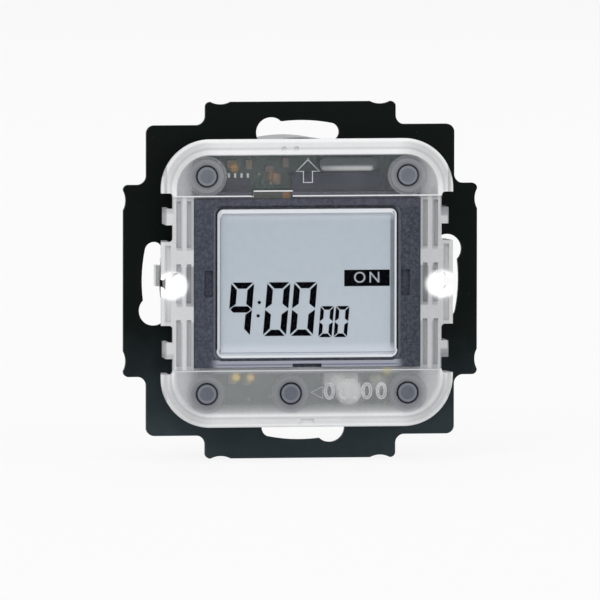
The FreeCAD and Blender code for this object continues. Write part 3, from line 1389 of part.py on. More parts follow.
def make_power_board():
    gap = "power_board_gap"
    board = round_block("power_board_plate", f"(housing_radius - housing_wall - {gap})",
                        f"(housing_half_width - housing_wall - {gap})", "power_board_front",
                        POWER_BOARD_BACK, f"-hollow_bottom + {gap}", f"hollow_top - {gap}")
    node("power_board", board)
    top = POWER_BOARD_BACK

    standing_case("relay", top, "+")
    standing_case("film_capacitor", top, "+")

    can = new_body("storage_body")
    bead = "(storage_radius - storage_bead_depth)"
    bead_end = "(storage_bead_start + storage_bead_width)"
    revolve(can, "storage_can", [
        ("0", "0"),
        ("storage_radius", "0"),
        ("storage_radius", "storage_bead_start"),
        (bead, "storage_bead_start + storage_bead_depth"),
        (bead, f"{bead_end} - storage_bead_depth"),
        ("storage_radius", bead_end),
        ("storage_radius", "storage_length - storage_bead_depth"),
        (bead, "storage_length"),
        ("0", "storage_length"),
    ])
    place(can, "storage_x", top, "storage_z")
    node("storage_capacitor", can)

    half_lead = "lead_width / 2"

    def lead(name, x, z, height):
        """A square lead that stands in the board."""
        return block(name, f"{x} - {half_lead}", f"{x} + {half_lead}", top, f"{top} + {height}",
                     f"{z} - {half_lead}", f"{z} + {half_lead}")

    plate = rod("varistor_disc", "Z", "varistor_x", f"{top} + varistor_rise",
                "varistor_z - varistor_thickness / 2", "varistor_radius", "varistor_thickness")
    leads = []
    for index, side in enumerate(("-", "+")):
        leads.append(lead(f"varistor_lead_{index}", f"(varistor_x {side} varistor_lead_spacing / 2)",
                          "varistor_z", "varistor_rise"))
    node("varistor", fuse("varistor_whole", plate, *leads))

    rise = f"{top} + resistor_rise"
    tube = rod("resistor_tube", "X", "resistor_x - resistor_length / 2", rise, "resistor_z",
               "resistor_radius", "resistor_length")
    span = "(resistor_length / 2 + lead_reach)"
    wire = rod("resistor_wire", "X", f"resistor_x - {span}", rise, "resistor_z", half_lead, f"2 * {span}")
    leads = []
    for index, side in enumerate(("-", "+")):
        leads.append(lead(f"resistor_lead_{index}", f"(resistor_x {side} {span})", "resistor_z",
                          f"(resistor_rise + {half_lead})"))
    node("safety_resistor", fuse("resistor_whole", tube, wire, *leads))

    diodes = []
    span = "(diode_length / 2 + lead_reach)"
    for index in range(DIODES):
        x = f"(diode_x + {index - (DIODES - 1) / 2} * diode_pitch)"
        tube = rod(f"diode_tube_{index}", "Z", x, f"{top} + diode_rise", "diode_z - diode_length / 2",
                   "diode_radius", "diode_length")
        wire = rod(f"diode_wire_{index}", "Z", x, f"{top} + diode_rise", f"diode_z - {span}", half_lead,
                   f"2 * {span}")
        leads = []
        for end, side in enumerate(("-", "+")):
            leads.append(lead(f"diode_lead_{index}_{end}", x, f"(diode_z {side} {span})",
                              f"(diode_rise + {half_lead})"))
        diodes.append(fuse(f"diode_{index}", tube, wire, *leads))
    node("rectifier_diodes", group("diode_set", *diodes))


# Terminals: the screw draws a cage back, which lifts the wire against the bar

def make_terminals():
    bars = []
    for index, x in enumerate(TERMINALS):
        left = f"{x} - bar_half_width"
        right = f"{x} + bar_half_width"
        tongue = block(f"bar_tongue_{index}", left, right, "bar_front", "bar_front + bar_thickness",
                       "-terminal_z - cage_half_height", "-bar_end_z")
        leg = block(f"bar_leg_{index}", left, right, POWER_BOARD_BACK, "bar_front",
                    "-bar_end_z - bar_thickness", "-bar_end_z")
        bars.append(fuse(f"bar_{index}", tongue, leg))
    node("terminal_bars", group("bar_set", *bars))

    for index, x in enumerate(TERMINALS, 1):
        cage_end = "(cage_top_start + cage_top_thickness)"
        outer = block_at(f"cage_outer_{index}", x, "-terminal_z", "cage_half_width", "cage_half_height",
                         "cage_front", cage_end)
        window = block_at(f"cage_window_{index}", x, "-terminal_z", "(cage_half_width - cage_wall)",
                          "(cage_half_height + 1)", "cage_front + cage_floor", "cage_top_start")
        thread = rod(f"cage_thread_{index}", "Y", x, "cage_top_start - 1", "-terminal_z",
                     "terminal_screw_radius + screw_gap", "cage_top_thickness + 2")
        node(f"terminal_cage_{index}", cut(f"cage_{index}", outer, window, thread))

        tip = "(bar_front + bar_thickness + terminal_screw_tip_gap)"
        screw = make_screw(f"terminal_screw_{index}_body", "terminal_screw_head_radius",
                           "terminal_screw_head_height", "terminal_screw_radius",
                           f"terminal_head_seat - {tip}")
        screw.Placement = FreeCAD.Placement(FreeCAD.Vector(), BACK_TO_FRONT)
        place(screw, x, "terminal_head_seat", "-terminal_z")
        node(f"terminal_screw_{index}", screw)


make_support_plate()
make_front_cover()
make_module_frame()
make_display_carrier()
make_display()
make_display_board()
make_board_parts()
make_small_screws()
make_buttons()
make_plug()
make_claw(-1, "left")
make_claw(1, "right")
make_rear_housing()
make_housing_lid()
make_power_board()
make_terminals()
doc.recompute()

for item in doc.Objects:
    if "Invalid" in item.State or "Error" in item.State:
        raise ValueError(f"{item.Label} failed: {item.State}")
for item in nodes:
    if item.Shape.isNull() or not item.Shape.isValid():
        raise ValueError(f"{item.Label} has no valid shape")

os.makedirs("parts", exist_ok=True)
for item in nodes:
    item.Shape.exportStep(f"parts/{item.Label}.step")
print(f"{len(nodes)} pieces written")
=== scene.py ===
import math

import bmesh
import bpy
from mathutils import Matrix, Vector


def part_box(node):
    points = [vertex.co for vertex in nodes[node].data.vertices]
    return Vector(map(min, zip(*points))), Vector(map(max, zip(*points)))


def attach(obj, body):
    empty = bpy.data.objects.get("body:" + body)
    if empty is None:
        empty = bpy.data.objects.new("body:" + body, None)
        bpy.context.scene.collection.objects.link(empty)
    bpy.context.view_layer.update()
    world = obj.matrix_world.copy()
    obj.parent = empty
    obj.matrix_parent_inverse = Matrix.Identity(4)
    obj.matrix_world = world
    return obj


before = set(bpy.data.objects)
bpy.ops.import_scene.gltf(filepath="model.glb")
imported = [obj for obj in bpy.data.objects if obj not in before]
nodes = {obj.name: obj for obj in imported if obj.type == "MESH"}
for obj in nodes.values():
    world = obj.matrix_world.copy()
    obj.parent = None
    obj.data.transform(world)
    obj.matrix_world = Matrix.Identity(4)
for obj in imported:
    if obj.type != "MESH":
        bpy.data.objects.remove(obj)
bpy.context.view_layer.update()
bpy.ops.object.select_all(action="DESELECT")
scene = bpy.context.scene
MM = 0.001


# Camera. A long lens a little to the left of the switch and above it,
# so that the cover stands out to the right of the plate and below its centre.
camera_distance = 3.0
view_width = 0.1194
sensor_width = 36.0
from_left = math.radians(8.0)
from_above = math.radians(3.8)
turn = math.radians(-0.07)
aim = Vector((0.08, 0.0, -4.1)) * MM

sight = Vector((
    math.sin(from_left) * math.cos(from_above),
    math.cos(from_left) * math.cos(from_above),
    -math.sin(from_above),
))
bpy.ops.object.camera_add(location=aim - sight * camera_distance)
camera = bpy.context.object
camera.name = "camera"
camera.data.sensor_width = sensor_width
camera.data.lens = sensor_width * camera_distance / view_width
camera.data.clip_start = 0.05
camera.data.clip_end = 20.0
camera.rotation_mode = "QUATERNION"
camera.rotation_quaternion = sight.to_track_quat("-Z", "Y") @ Matrix.Rotation(-turn, 4, "Z").to_quaternion()
scene.camera = camera


# Studio. A pale floor that runs up into a backdrop, a white room round it
# and three soft lamps, so bright that a colour looks as it is written.

class Value:
    """One socket in a material. Arithmetic on it adds the Math nodes."""

    def __init__(self, tree, socket=None):
        self.tree = tree
        self.socket = socket

    def add(self, kind, settings=None, inputs=None, output=0):
        """Adds a node, sets it up, fills its inputs and returns one of its outputs."""
        node = self.tree.nodes.new("ShaderNode" + kind)
        for name, setting in (settings or {}).items():
            setattr(node, name, setting)
        for name, value in (inputs or {}).items():
            if isinstance(value, Value):
                self.tree.links.new(value.socket, node.inputs[name])
            else:
                node.inputs[name].default_value = value
        return Value(self.tree, node.outputs[output])

    def work_out(self, operation, *values):
        """One Math node."""
        return self.add("Math", {"operation": operation}, dict(enumerate(values)))

    def __add__(self, other):
        return self.work_out("ADD", self, other)

    def __sub__(self, other):
        return self.work_out("SUBTRACT", self, other)

    def __rsub__(self, other):
        return self.work_out("SUBTRACT", other, self)

    def __mul__(self, other):
        return self.work_out("MULTIPLY", self, other)

    def __truediv__(self, other):
        return self.work_out("DIVIDE", self, other)

    def __abs__(self):
        return self.work_out("ABSOLUTE", self)

    def above(self, other):
        return self.work_out("MAXIMUM", self, other)

    def below(self, other):
        return self.work_out("MINIMUM", self, other)

    def root(self):
        return self.work_out("SQRT", self)

    def smooth(self, start, end):
        """Rises smoothly from 0 at start to 1 at end."""
        return self.add("MapRange", {"interpolation_type": "SMOOTHSTEP"},
                        {"Value": self, "From Min": start, "From Max": end})

    def between(self, low, high, soft):
        """1 from low to high, and 0 outside, with soft ends."""
        return self.smooth(low - soft, low) * (1.0 - self.smooth(high, high + soft))

    def blend(self, first, second):
        """The first colour where this value is 0 and the second where it is 1."""
        return self.add("Mix", {"data_type": "RGBA"}, {0: self, 6: first, 7: second}, output=2)

    def mix(self, first, second):
        """The first number where this value is 0 and the second where it is 1."""
        return first + (second - first) * self

    __radd__ = __add__
    __rmul__ = __mul__


def colour(red, green, blue):
    """A colour as it is read off a screen, 0 to 255, as the shader wants it."""
    parts = [part / 255 for part in (red, green, blue)]
    return tuple(p / 12.92 if p <= 0.04045 else ((p + 0.055) / 1.055) ** 2.4 for p in parts) + (1.0,)


def new_material(name):
    """An empty material, its first value and the node that ends it."""
    material = bpy.data.materials.new(name)
    material.use_nodes = True
    tree = material.node_tree
    tree.nodes.clear()
    end = tree.nodes.new("ShaderNodeOutputMaterial")
    return material, Value(tree), end


def in_view(value):
    """1 for what the camera sees, directly, in a reflection or through clear plastic."""
    rays = [value.add("LightPath", output=f"Is {kind} Ray") for kind in ("Camera", "Glossy", "Transmission")]
    return rays[0].above(rays[1]).above(rays[2])


white = (1.0, 1.0, 1.0, 1.0)
floor_colour = (0.86, 0.86, 0.86, 1.0)
floor_glow = 0.86
floor_level = -35.56 * MM
floor_reach = 8.0
sweep_radius = 0.6

bpy.ops.mesh.primitive_plane_add(size=floor_reach, location=(0.0, 0.0, floor_level))
floor = bpy.context.object
floor.name = "floor"
bpy.ops.object.mode_set(mode="EDIT")
bpy.ops.mesh.select_all(action="DESELECT")
shape = bmesh.from_edit_mesh(floor.data)
for edge in shape.edges:
    edge.select_set(all(vertex.co.y > 0 for vertex in edge.verts))
bmesh.update_edit_mesh(floor.data)
bpy.ops.mesh.extrude_edges_move(TRANSFORM_OT_translate={"value": (0.0, 0.0, floor_reach / 2)})
bpy.ops.object.mode_set(mode="OBJECT")
bevel = floor.modifiers.new("sweep", "BEVEL")
bevel.width = sweep_radius
bevel.segments = 24
bpy.ops.object.modifier_apply(modifier="sweep")
bpy.ops.object.shade_smooth()
bpy.ops.object.transform_apply(location=True)

floor_finish, value, end = new_material("floor_paper")
paper = value.add("BsdfDiffuse", inputs={"Color": floor_colour})
glow = value.add("Emission", inputs={"Color": white, "Strength": 1.0})
shown = value.add("MixShader", inputs={0: in_view(value) * floor_glow, 1: paper, 2: glow})
value.tree.links.new(shown.socket, end.inputs["Surface"])
floor.data.materials.append(floor_finish)

world_light = 0.62
world = bpy.data.worlds.new("white_room")
world.use_nodes = True
world.node_tree.nodes.clear()
value = Value(world.node_tree)
end = world.node_tree.nodes.new("ShaderNodeOutputWorld")
sky = value.add("Background", inputs={
    "Color": white,
    "Strength": world_light + (1.0 - world_light) * in_view(value),
})
world.node_tree.links.new(sky.socket, end.inputs["Surface"])
scene.world = world
scene.view_settings.view_transform = "Standard"

# Each lamp's place, width and power
lamps = {
    "key_lamp": ((-0.9, -1.3, 1.1), 0.9, 9.0),
    "fill_lamp": ((1.2, -1.0, 0.4), 1.1, 4.0),
    "back_lamp": ((0.2, 1.2, 1.2), 1.0, 4.0),
}
for name, (place, width, power) in lamps.items():
    bpy.ops.object.light_add(type="AREA", location=place)
    lamp = bpy.context.object
    lamp.name = name
    lamp.data.shape = "DISK"
    lamp.data.size = width
    lamp.data.energy = power
    lamp.rotation_mode = "QUATERNION"
    lamp.rotation_quaternion = (Vector((0, 0, 0)) - Vector(place)).to_track_quat("-Z", "Y")


# Support plate. Stamped from 1.2 mm steel sheet and blackened: nearly black, with the fine tooth of
# the rolled sheet, and painted lighter towards its lower edge as a painted reflection of the pale floor.

def place_parts(value):
    """Object coordinates as a vector, and x, y and z in millimetres."""
    place = value.add("TexCoord", output="Object")
    return [place] + [value.add("SeparateXYZ", inputs={"Vector": place}, output=name) / MM for name in "XYZ"]


def noise(value, place, size, detail=3.0, roughness=0.6):
    """Noise with patches of a size in millimetres."""
    return value.add("TexNoise", inputs={
        "Vector": place, "Scale": 1.0 / (size * MM), "Detail": detail, "Roughness": roughness,
    })


def bump(value, strength, depth, height):
    """A rough normal, whose bumps are depth millimetres high."""
    return value.add("Bump", inputs={"Strength": strength, "Distance": depth * MM, "Height": height})


def show(value, end, inputs):
    """Ends a material with one shader that takes all its values."""
    body = value.add("BsdfPrincipled", inputs=inputs)
    value.tree.links.new(body.socket, end.inputs["Surface"])


def shade(tone, factor):
    """A tone made lighter or darker, and never lighter than white."""
    return tuple(min(1.0, part * factor) for part in tone[:3]) + (1.0,)


def give(finish, *names):
    """Gives CAD nodes a finish."""
    for name in names:
        node = nodes[name]
        node.data.materials.clear()
        node.data.materials.append(finish)


plate_top, plate_floor_reflection = colour(14, 21, 19), colour(60, 70, 75)
plate_finish, value, end = new_material("black_steel")
place, x, y, z = place_parts(value)
patches = noise(value, place, 9.0)
tooth = noise(value, place, 0.22, 2.0)
# Painted reflection of the pale floor: the plate grows lighter towards its lower edge
height = (z + (patches - 0.5) * 14.0).smooth(-6.0, -38.0)
flecks = noise(value, place, 0.7, 4.0, 0.75).smooth(0.66, 0.74)
show(value, end, {
    "Base Color": (flecks * 0.10).blend(height.blend(plate_top, plate_floor_reflection), colour(150, 156, 156)),
    "Roughness": 0.46 + (patches - 0.5) * 0.2,
    "Specular IOR Level": 0.05,
    "Normal": bump(value, 0.5, 0.015, tooth),
})
give(plate_finish, "support_plate")


# Rear housing and lid. Injection moulded in light grey polyamide with a fine spark-eroded
# face. The housing drops into the wall box, and four screws pull it against the plate.

def moulding(name, tone, roughness=0.5, patch=0.05, patch_size=7.0, specular=0.4):
    """Moulded plastic: soft patches of tone and gloss, and the fine grain of the mould."""
    material, value, end = new_material(name)
    place = value.add("TexCoord", output="Object")
    patches = noise(value, place, patch_size)
    fine = noise(value, place, 0.35, 2.0)
    show(value, end, {
        "Base Color": patches.smooth(0.3, 0.7).blend(shade(tone, 1.0 - patch), shade(tone, 1.0 + patch)),
        "Roughness": roughness + (patches - 0.5) * 0.14 + (fine - 0.5) * 0.08,
        "Specular IOR Level": specular,
        "Normal": bump(value, 0.6, 0.012, fine),
    })
    return material


give(moulding("housing_grey", colour(150, 153, 155)), "rear_housing")
give(moulding("lid_grey", colour(108, 111, 114)), "housing_lid")


# Terminals. Four rising-cage screw terminals at the lower edge of the housing: steel cages
# and screws, zinc plated, on tinned brass bars. Plain numbers stand beside the screw holes.

def plated(name, tone, roughness=0.34, metallic=0.9):
    """Zinc plating: cloudy grey patches, fine scratches in the gloss."""
    material, value, end = new_material(name)
    place = value.add("TexCoord", output="Object")
    cloud = noise(value, place, 2.4, 4.0)
    fine = noise(value, place, 0.25, 2.0)
    show(value, end, {
        "Base Color": cloud.smooth(0.3, 0.7).blend(shade(tone, 0.95), shade(tone, 1.05)),
        "Roughness": roughness + (cloud - 0.5) * 0.16 + (fine - 0.5) * 0.10,
        "Metallic": metallic,
        "Normal": bump(value, 0.35, 0.01, fine),
    })
    return material


def fix(piece, finish, body="body"):
    """Gives a new piece its finish and its slot and fixes it to a body."""
    piece.data.materials.clear()
    piece.data.materials.append(finish)
    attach(piece, body)


def middle_of(name):
    """The middle of a CAD node across and up, in millimetres."""
    low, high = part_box(name)
    return (low[0] + high[0]) / 2 / MM, (low[2] + high[2]) / 2 / MM


def lettering(name, words, size, place, depth=0.0, outline=0.0, spread=1.0, behind=False):
    """Words as a mesh: solid with a depth, or as an outline, upright on the front or the back."""
    bpy.ops.object.text_add()
    piece = bpy.context.object
    piece.name = name
    piece.data.body = words
    piece.data.align_x = "CENTER"
    piece.data.align_y = "CENTER"
    piece.data.size = size * MM
    piece.data.space_character = spread
    piece.data.resolution_u = 6
    if outline:
        piece.data.fill_mode = "NONE"
        piece.data.bevel_depth = outline * MM
        piece.data.bevel_resolution = 1
    else:
        piece.data.extrude = depth / 2 * MM
    bpy.ops.object.convert(target="MESH")
    piece = bpy.context.object
    bpy.ops.object.mode_set(mode="EDIT")
    bpy.ops.mesh.select_all(action="SELECT")
    bpy.ops.mesh.remove_doubles(threshold=0.001 * MM)
    bpy.ops.mesh.normals_make_consistent(inside=False)
    bpy.ops.object.mode_set(mode="OBJECT")
    piece.rotation_euler = (math.pi / 2, 0.0, math.pi if behind else 0.0)
    piece.location = Vector(place) * MM
    bpy.ops.object.transform_apply(location=True, rotation=True)
    bpy.ops.object.select_all(action="DESELECT")
    return piece


terminals = range(1, 5)
give(plated("zinc_steel", colour(182, 185, 188)), "board_screws", "module_screws", "housing_screws",
     *[f"terminal_screw_{number}" for number in terminals])
give(plated("cage_steel", colour(172, 174, 176), 0.4), *[f"terminal_cage_{number}" for number in terminals])
give(plated("tinned_brass", colour(196, 190, 172), 0.3), "terminal_bars")

number_size, number_depth = 2.2, 0.12
beside_screw, number_back, number_level = 3.0, 18.02, -21.0
number_finish = moulding("moulded_numbers", colour(132, 135, 138), 0.42)
for number in terminals:
    across = middle_of(f"terminal_screw_{number}")[0] + beside_screw
    place = (across, number_back, number_level)
    piece = lettering(f"terminal_number_{number}", str(number), number_size, place, number_depth, behind=True)
    fix(piece, number_finish)


# Power board and its parts. Green glass-fibre board inside the housing with the relay, the
# capacitors and the diodes soldered to it, each in the case that its kind usually has.

def board(name, tone, copper):
    """Solder resist over copper tracks that show as lighter lines, with a few bare points."""
    material, value, end = new_material(name)
    place, x, y, z = place_parts(value)
    patches = noise(value, place, 4.0)
    swerve = (noise(value, place, 3.2, 1.0) - 0.5) * 3.2
    waves = (x + swerve) * 5.2
    tracks = waves.work_out("SINE", waves).smooth(0.62, 0.80)
    areas = noise(value, place, 5.0, 0.0).smooth(0.48, 0.52)
    points = value.add("TexVoronoi", inputs={"Vector": place, "Scale": 1.0 / (2.2 * MM)}).smooth(0.16, 0.12)
    covered = (tracks * areas * 0.55 + patches * 0.2).blend(tone, copper)
    show(value, end, {
        "Base Color": (points * 0.6).blend(covered, colour(176, 172, 150)),
        "Roughness": 0.42 + (patches - 0.5) * 0.2,
        "Normal": bump(value, 0.5, 0.02, tracks),
    })
    return material


give(board("board_green", colour(36, 60, 50), colour(78, 104, 86)), "display_board", "power_board")
give(moulding("relay_black", colour(38, 39, 42), 0.45), "relay")
give(moulding("film_yellow", colour(214, 170, 50), 0.4), "film_capacitor")
give(moulding("can_sleeve", colour(40, 50, 90), 0.35), "storage_capacitor")
give(moulding("varistor_blue", colour(50, 80, 150), 0.4, patch=0.1, patch_size=2.0), "varistor")
give(moulding("resistor_body", colour(120, 150, 120), 0.5), "safety_resistor")
give(moulding("diode_black", colour(32, 32, 35), 0.4), "rectifier_diodes")
give(moulding("plug_black", colour(32, 32, 35), 0.5), "board_header", "header_socket")


# Claws. Steel strip, stamped and zinc plated. Each screw draws its nut forward, and the nut swings
# the claw out against the wall box. The screw heads are painted white, with a painted glow, for the
# light that comes through the plastic from behind.

give(plated("claw_steel", colour(228, 230, 230), 0.45, metallic=0.4), "claw_left", "claw_right")

claw_screw_finish, value, end = new_material("claw_screw_steel_and_glow")
place, x, y, z = place_parts(value)
cloud = noise(value, place, 1.5)
# Painted light: the screw heads are painted white and given a glow
painted_glow_head = y.smooth(-8.3, -8.9)
screw_tone = cloud.blend(colour(196, 198, 200), colour(214, 216, 218))
show(value, end, {
    "Base Color": painted_glow_head.blend(screw_tone, colour(252, 253, 255)),
    "Roughness": 0.4 + (cloud - 0.5) * 0.1,
    "Metallic": (1.0 - painted_glow_head) * 0.6,
    "Emission Color": painted_glow_head.blend(colour(0, 0, 0), colour(160, 160, 160)),
    "Emission Strength": 1.0,
})
give(claw_screw_finish, "claw_screw_left", "claw_screw_right")
give(plated("claw_nut_steel", colour(226, 228, 228), 0.45, metallic=0.4), "claw_nut_left", "claw_nut_right")


# Frame behind the cover. A tray of the same frosted plastic as the cover, thicker and more milky.
# It carries the boards and the claw screws, and two screws hold it to the plate.

# Round the claw screw heads the frame and the cover are painted white and given a painted glow, for the light
# that comes through the plastic from behind.
access_x, access_z = 27.0, -0.4
access_light_reach, access_light_rise = 2.5, 2.2
painted_access_glow = colour(172, 172, 172)


def access_light(x, y, z):
    """1 round the claw screw heads, where painted light and glow stand in for the light through the plastic
    from behind.
    """
    out = (abs(x) - access_x) / access_light_reach
    up = (z - access_z) / access_light_rise
    return (out * out + up * up).smooth(2.2, 0.7) * y.smooth(-5.0, -7.0)


frame_finish, value, end = new_material("frosted_frame")
place, x, y, z = place_parts(value)
cloud = noise(value, place, 4.0, 2.0)
fine = noise(value, place, 0.5)
light = access_light(x, y, z)
frame_tone = cloud.smooth(0.3, 0.7).blend(colour(212, 214, 216), colour(222, 223, 225))
show(value, end, {
    "Base Color": light.blend(frame_tone, colour(255, 255, 255)),
    "Roughness": 0.5,
    "Alpha": (0.52 + (cloud - 0.5) * 0.1 + light * 0.5).below(1.0),
    "Emission Color": light.blend(colour(0, 0, 0), painted_access_glow),
    "Emission Strength": 1.0,
    "Normal": bump(value, 0.3, 0.01, fine),
})
give(frame_finish, "module_frame")


# Display board parts. A memory chip with tinned legs, a crystal in its drawn can, a backup cell
# in a dark sleeve and small ceramic capacitors: all seen dimly through the cover.

chip_middle = middle_of("memory_chip")[1]
legs_from = 1.5

chip_finish, value, end = new_material("chip_black")
place, x, y, z = place_parts(value)
legs = abs(z - chip_middle).smooth(legs_from - 0.05, legs_from + 0.05)
fine = noise(value, place, 0.2, 2.0)
show(value, end, {
    "Base Color": legs.blend(colour(34, 35, 50), colour(250, 251, 252)),
    "Roughness": 0.5 + (fine - 0.5) * 0.1,
    "Metallic": legs * 0.3,
    "Normal": bump(value, 0.5, 0.01, fine),
})
give(chip_finish, "memory_chip")
give(moulding("main_chip_black", colour(34, 35, 42), 0.5), "main_chip")

capacitor_finish, value, end = new_material("ceramic_tan")
place, x, y, z = place_parts(value)
tan = x.smooth(-8.0, -9.0).blend(colour(112, 96, 84), colour(130, 109, 78))
yellow = z.smooth(1.0, -1.0).blend(tan, colour(168, 152, 104))
fine = noise(value, place, 0.5, 2.0)
show(value, end, {
    "Base Color": (fine.smooth(0.35, 0.75) * 0.25).blend(yellow, colour(150, 144, 134)),
    "Roughness": 0.4 + (fine - 0.5) * 0.2,
})
give(capacitor_finish, "chip_capacitors")

# Painted highlight: a bright line along the round can of the crystal, stronger towards its right end.
can_left, can_right = [corner[0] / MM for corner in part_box("crystal")]
can_highlight_level = middle_of("crystal")[1] - 0.8
can_finish, value, end = new_material("crystal_can")
place, x, y, z = place_parts(value)
cloud = noise(value, place, 1.2)
painted_can_highlight = 1.0 - abs(z - can_highlight_level).smooth(0.05, 0.8)
painted_can_highlight = painted_can_highlight * x.between(can_left + 0.8, can_right - 1.2, 0.8) * (0.45 + x.smooth(2.0, 9.0) * 0.5)
show(value, end, {
    "Base Color": painted_can_highlight.blend(colour(66, 74, 74), colour(228, 230, 228)),
    "Roughness": 0.36 + (cloud - 0.5) * 0.12,
    "Metallic": 0.2,
})
give(can_finish, "crystal")
give(moulding("cell_dark", colour(30, 33, 48), 0.5, patch=0.12, patch_size=2.0, specular=0.2), "backup_cell")
give(moulding("spacer_white", colour(250, 250, 248), 0.5, patch=0.02), "spacer_post")
give(moulding("switch_case", colour(84, 88, 96), 0.5), "button_switches")


# Display. A liquid crystal panel under a clear window with bevelled edges, held by a dark
# satin bezel. The dark bars of the figures lie in the glass, behind the window.

def edge_depth(x, z, half_width, half_height, corner):
    """How far a point is inside the edge of a rounded rectangle, in millimetres."""
    across, up = abs(x) - (half_width - corner), abs(z) - (half_height - corner)
    out_x, out_z = across.above(0.0), up.above(0.0)
    length = out_x * out_x + out_z * out_z
    return corner - length.root() - across.above(up).below(0.0)


def ink(name, first, second, roughness, opacity=None, specular=0.5):
    """A thin print or mark: two close tones in small flecks. Opacity is its least and its spread."""
    material, value, end = new_material(name)
    fine = noise(value, value.add("TexCoord", output="Object"), 0.4)
    inputs = {
        "Base Color": fine.smooth(0.3, 0.7).blend(first, second),
        "Roughness": roughness,
        "Specular IOR Level": specular,
    }
    if opacity:
        inputs["Alpha"] = opacity[0] + fine * opacity[1]
    show(value, end, inputs)
    return material


# Half the width, half the height and the corner radius of each edge
bezel_opening = (18.85, 15.6, 2.0)
window_edge = (18.1, 14.85, 1.4)

glass_finish, value, end = new_material("display_glass")
place, x, y, z = place_parts(value)
cloud = noise(value, place, 1.6, 4.0)
level = z.smooth(-15.0, 14.0)
glass_tone = level.blend(colour(188, 198, 208), colour(180, 191, 201))
# Painted light and shade along the edges of the glass, under the window's bevel: lighter bands and a bright
# line at the top and the bottom, darker strips at the sides and a dark line near the foot.
glass_tone = x.between(16.85, 17.7, 0.12).blend(glass_tone, colour(128, 136, 146))
glass_tone = z.smooth(-11.6, -13.6).blend(glass_tone, colour(212, 218, 228))
glass_tone = z.smooth(11.8, 14.0).blend(glass_tone, colour(206, 213, 223))
glass_tone = z.smooth(13.9, 14.05).blend(glass_tone, colour(240, 243, 250))
glass_tone = x.between(-18.3, -17.2, 0.1).blend(glass_tone, colour(150, 156, 166))
glass_tone = z.between(-13.95, -13.83, 0.05).blend(glass_tone, colour(160, 166, 182))
show(value, end, {
    "Base Color": (cloud.smooth(0.35, 0.65) * 0.05).blend(glass_tone, colour(226, 232, 238)),
    "Roughness": 0.34 + (cloud - 0.5) * 0.1,
})
give(glass_finish, "lcd_panel")
give(plated("reflector_foil", colour(205, 208, 212), 0.4), "lcd_reflector")
give(moulding("contact_rubber", colour(170, 130, 112), 0.6), "contact_strips")

bezel_finish, value, end = new_material("bezel_black")
place, x, y, z = place_parts(value)
speckle = noise(value, place, 0.55, 3.0, 0.8)
patches = noise(value, place, 5.0)
bezel_tone = x.smooth(-20.0, 20.0).blend(colour(50, 55, 68), colour(42, 48, 57))
bezel_tone = z.smooth(14.9, 15.4).blend(bezel_tone, colour(60, 62, 73))
low_strip = z.smooth(-15.1, -15.4) * abs(x).smooth(19.6, 17.4)
bezel_tone = low_strip.blend(bezel_tone, colour(164, 167, 178))
bezel_tone = (low_strip * z.between(-16.3, -16.1, 0.12)).blend(bezel_tone, colour(120, 124, 146))
opening_depth = edge_depth(x, z, *bezel_opening)
# Round the rim of the opening: a painted shadow along the top and the bottom, and a painted highlight along the
# sides, where the chamfer catches the light.
opening_rim = opening_depth.between(0.2, 0.5, 0.08) * y.smooth(-10.2, -10.3)
side_rim_highlight = opening_rim * abs(z).smooth(15.2, 14.6)
side_rim_tone = x.smooth(-1.0, 1.0).blend(colour(92, 97, 110), colour(80, 85, 98))
bezel_tone = (opening_rim - side_rim_highlight).blend(bezel_tone, colour(30, 32, 40))
bezel_tone = side_rim_highlight.blend(bezel_tone, side_rim_tone)
board_window = x.between(-10.7, -3.1, 0.05) * z.smooth(16.72, 16.78)
bezel_tone = board_window.blend(bezel_tone, colour(92, 96, 90))
bezel_tone = (board_window * x.between(-4.6, -3.6, 0.4)).blend(bezel_tone, colour(146, 112, 82))
sunk = y.smooth(-10.76, -10.7) * abs(z).smooth(16.75, 16.7) * abs(x).smooth(22.5, 22.4)
sunk = sunk * y.smooth(-10.0, -10.05) * (1.0 - opening_depth.smooth(-0.1, 0.0))
bezel_tone = sunk.blend(bezel_tone, colour(44, 46, 62))
show(value, end, {
    "Base Color": (speckle.smooth(0.35, 0.7) * 0.16 + patches * 0.04).blend(bezel_tone, colour(150, 156, 172)),
    "Roughness": 0.5 + (speckle - 0.5) * 0.2,
    "Specular IOR Level": 0.2,
    "Normal": bump(value, 0.5, 0.02, speckle),
})
give(bezel_finish, "display_carrier")

window_finish, value, end = new_material("window_clear")
place, x, y, z = place_parts(value)
depth = edge_depth(x, z, *window_edge) + z.smooth(-13.0, -13.4) * 0.16
left_side, right_side = x.smooth(-17.0, -17.3), x.smooth(17.0, 17.3)
top_side = z.smooth(13.0, 13.4)
# Painted highlight on the window's bevel
bevel_highlight = (depth - top_side * 0.3).between(0.24, 0.62, 0.1)
bevel_highlight = bevel_highlight.above(depth.between(0.24, 0.62, 0.1)) * (1.0 - left_side * 0.3)
bevel_highlight = bevel_highlight * (1.0 - right_side * depth.smooth(0.42, 0.52) * 0.8)
bevel_tone = bevel_highlight.blend(colour(238, 243, 247), colour(240, 243, 248))
# Painted shade: a dark line in the gap round the window's edge
edge_gap_shade = 1.0 - depth.smooth(0.1, 0.2)
smear = noise(value, place, 3.0)
show(value, end, {
    "Base Color": edge_gap_shade.blend(bevel_tone, colour(18, 20, 24)),
    "Roughness": 0.06 + smear * 0.05,
    "Specular IOR Level": 0.04,
    "Alpha": (0.002 + bevel_highlight * 0.85 + edge_gap_shade * 0.95).below(1.0),
})
give(window_finish, "display_window")

figures_back, figures_thickness = -9.805, 0.02
bar_cut = 0.2


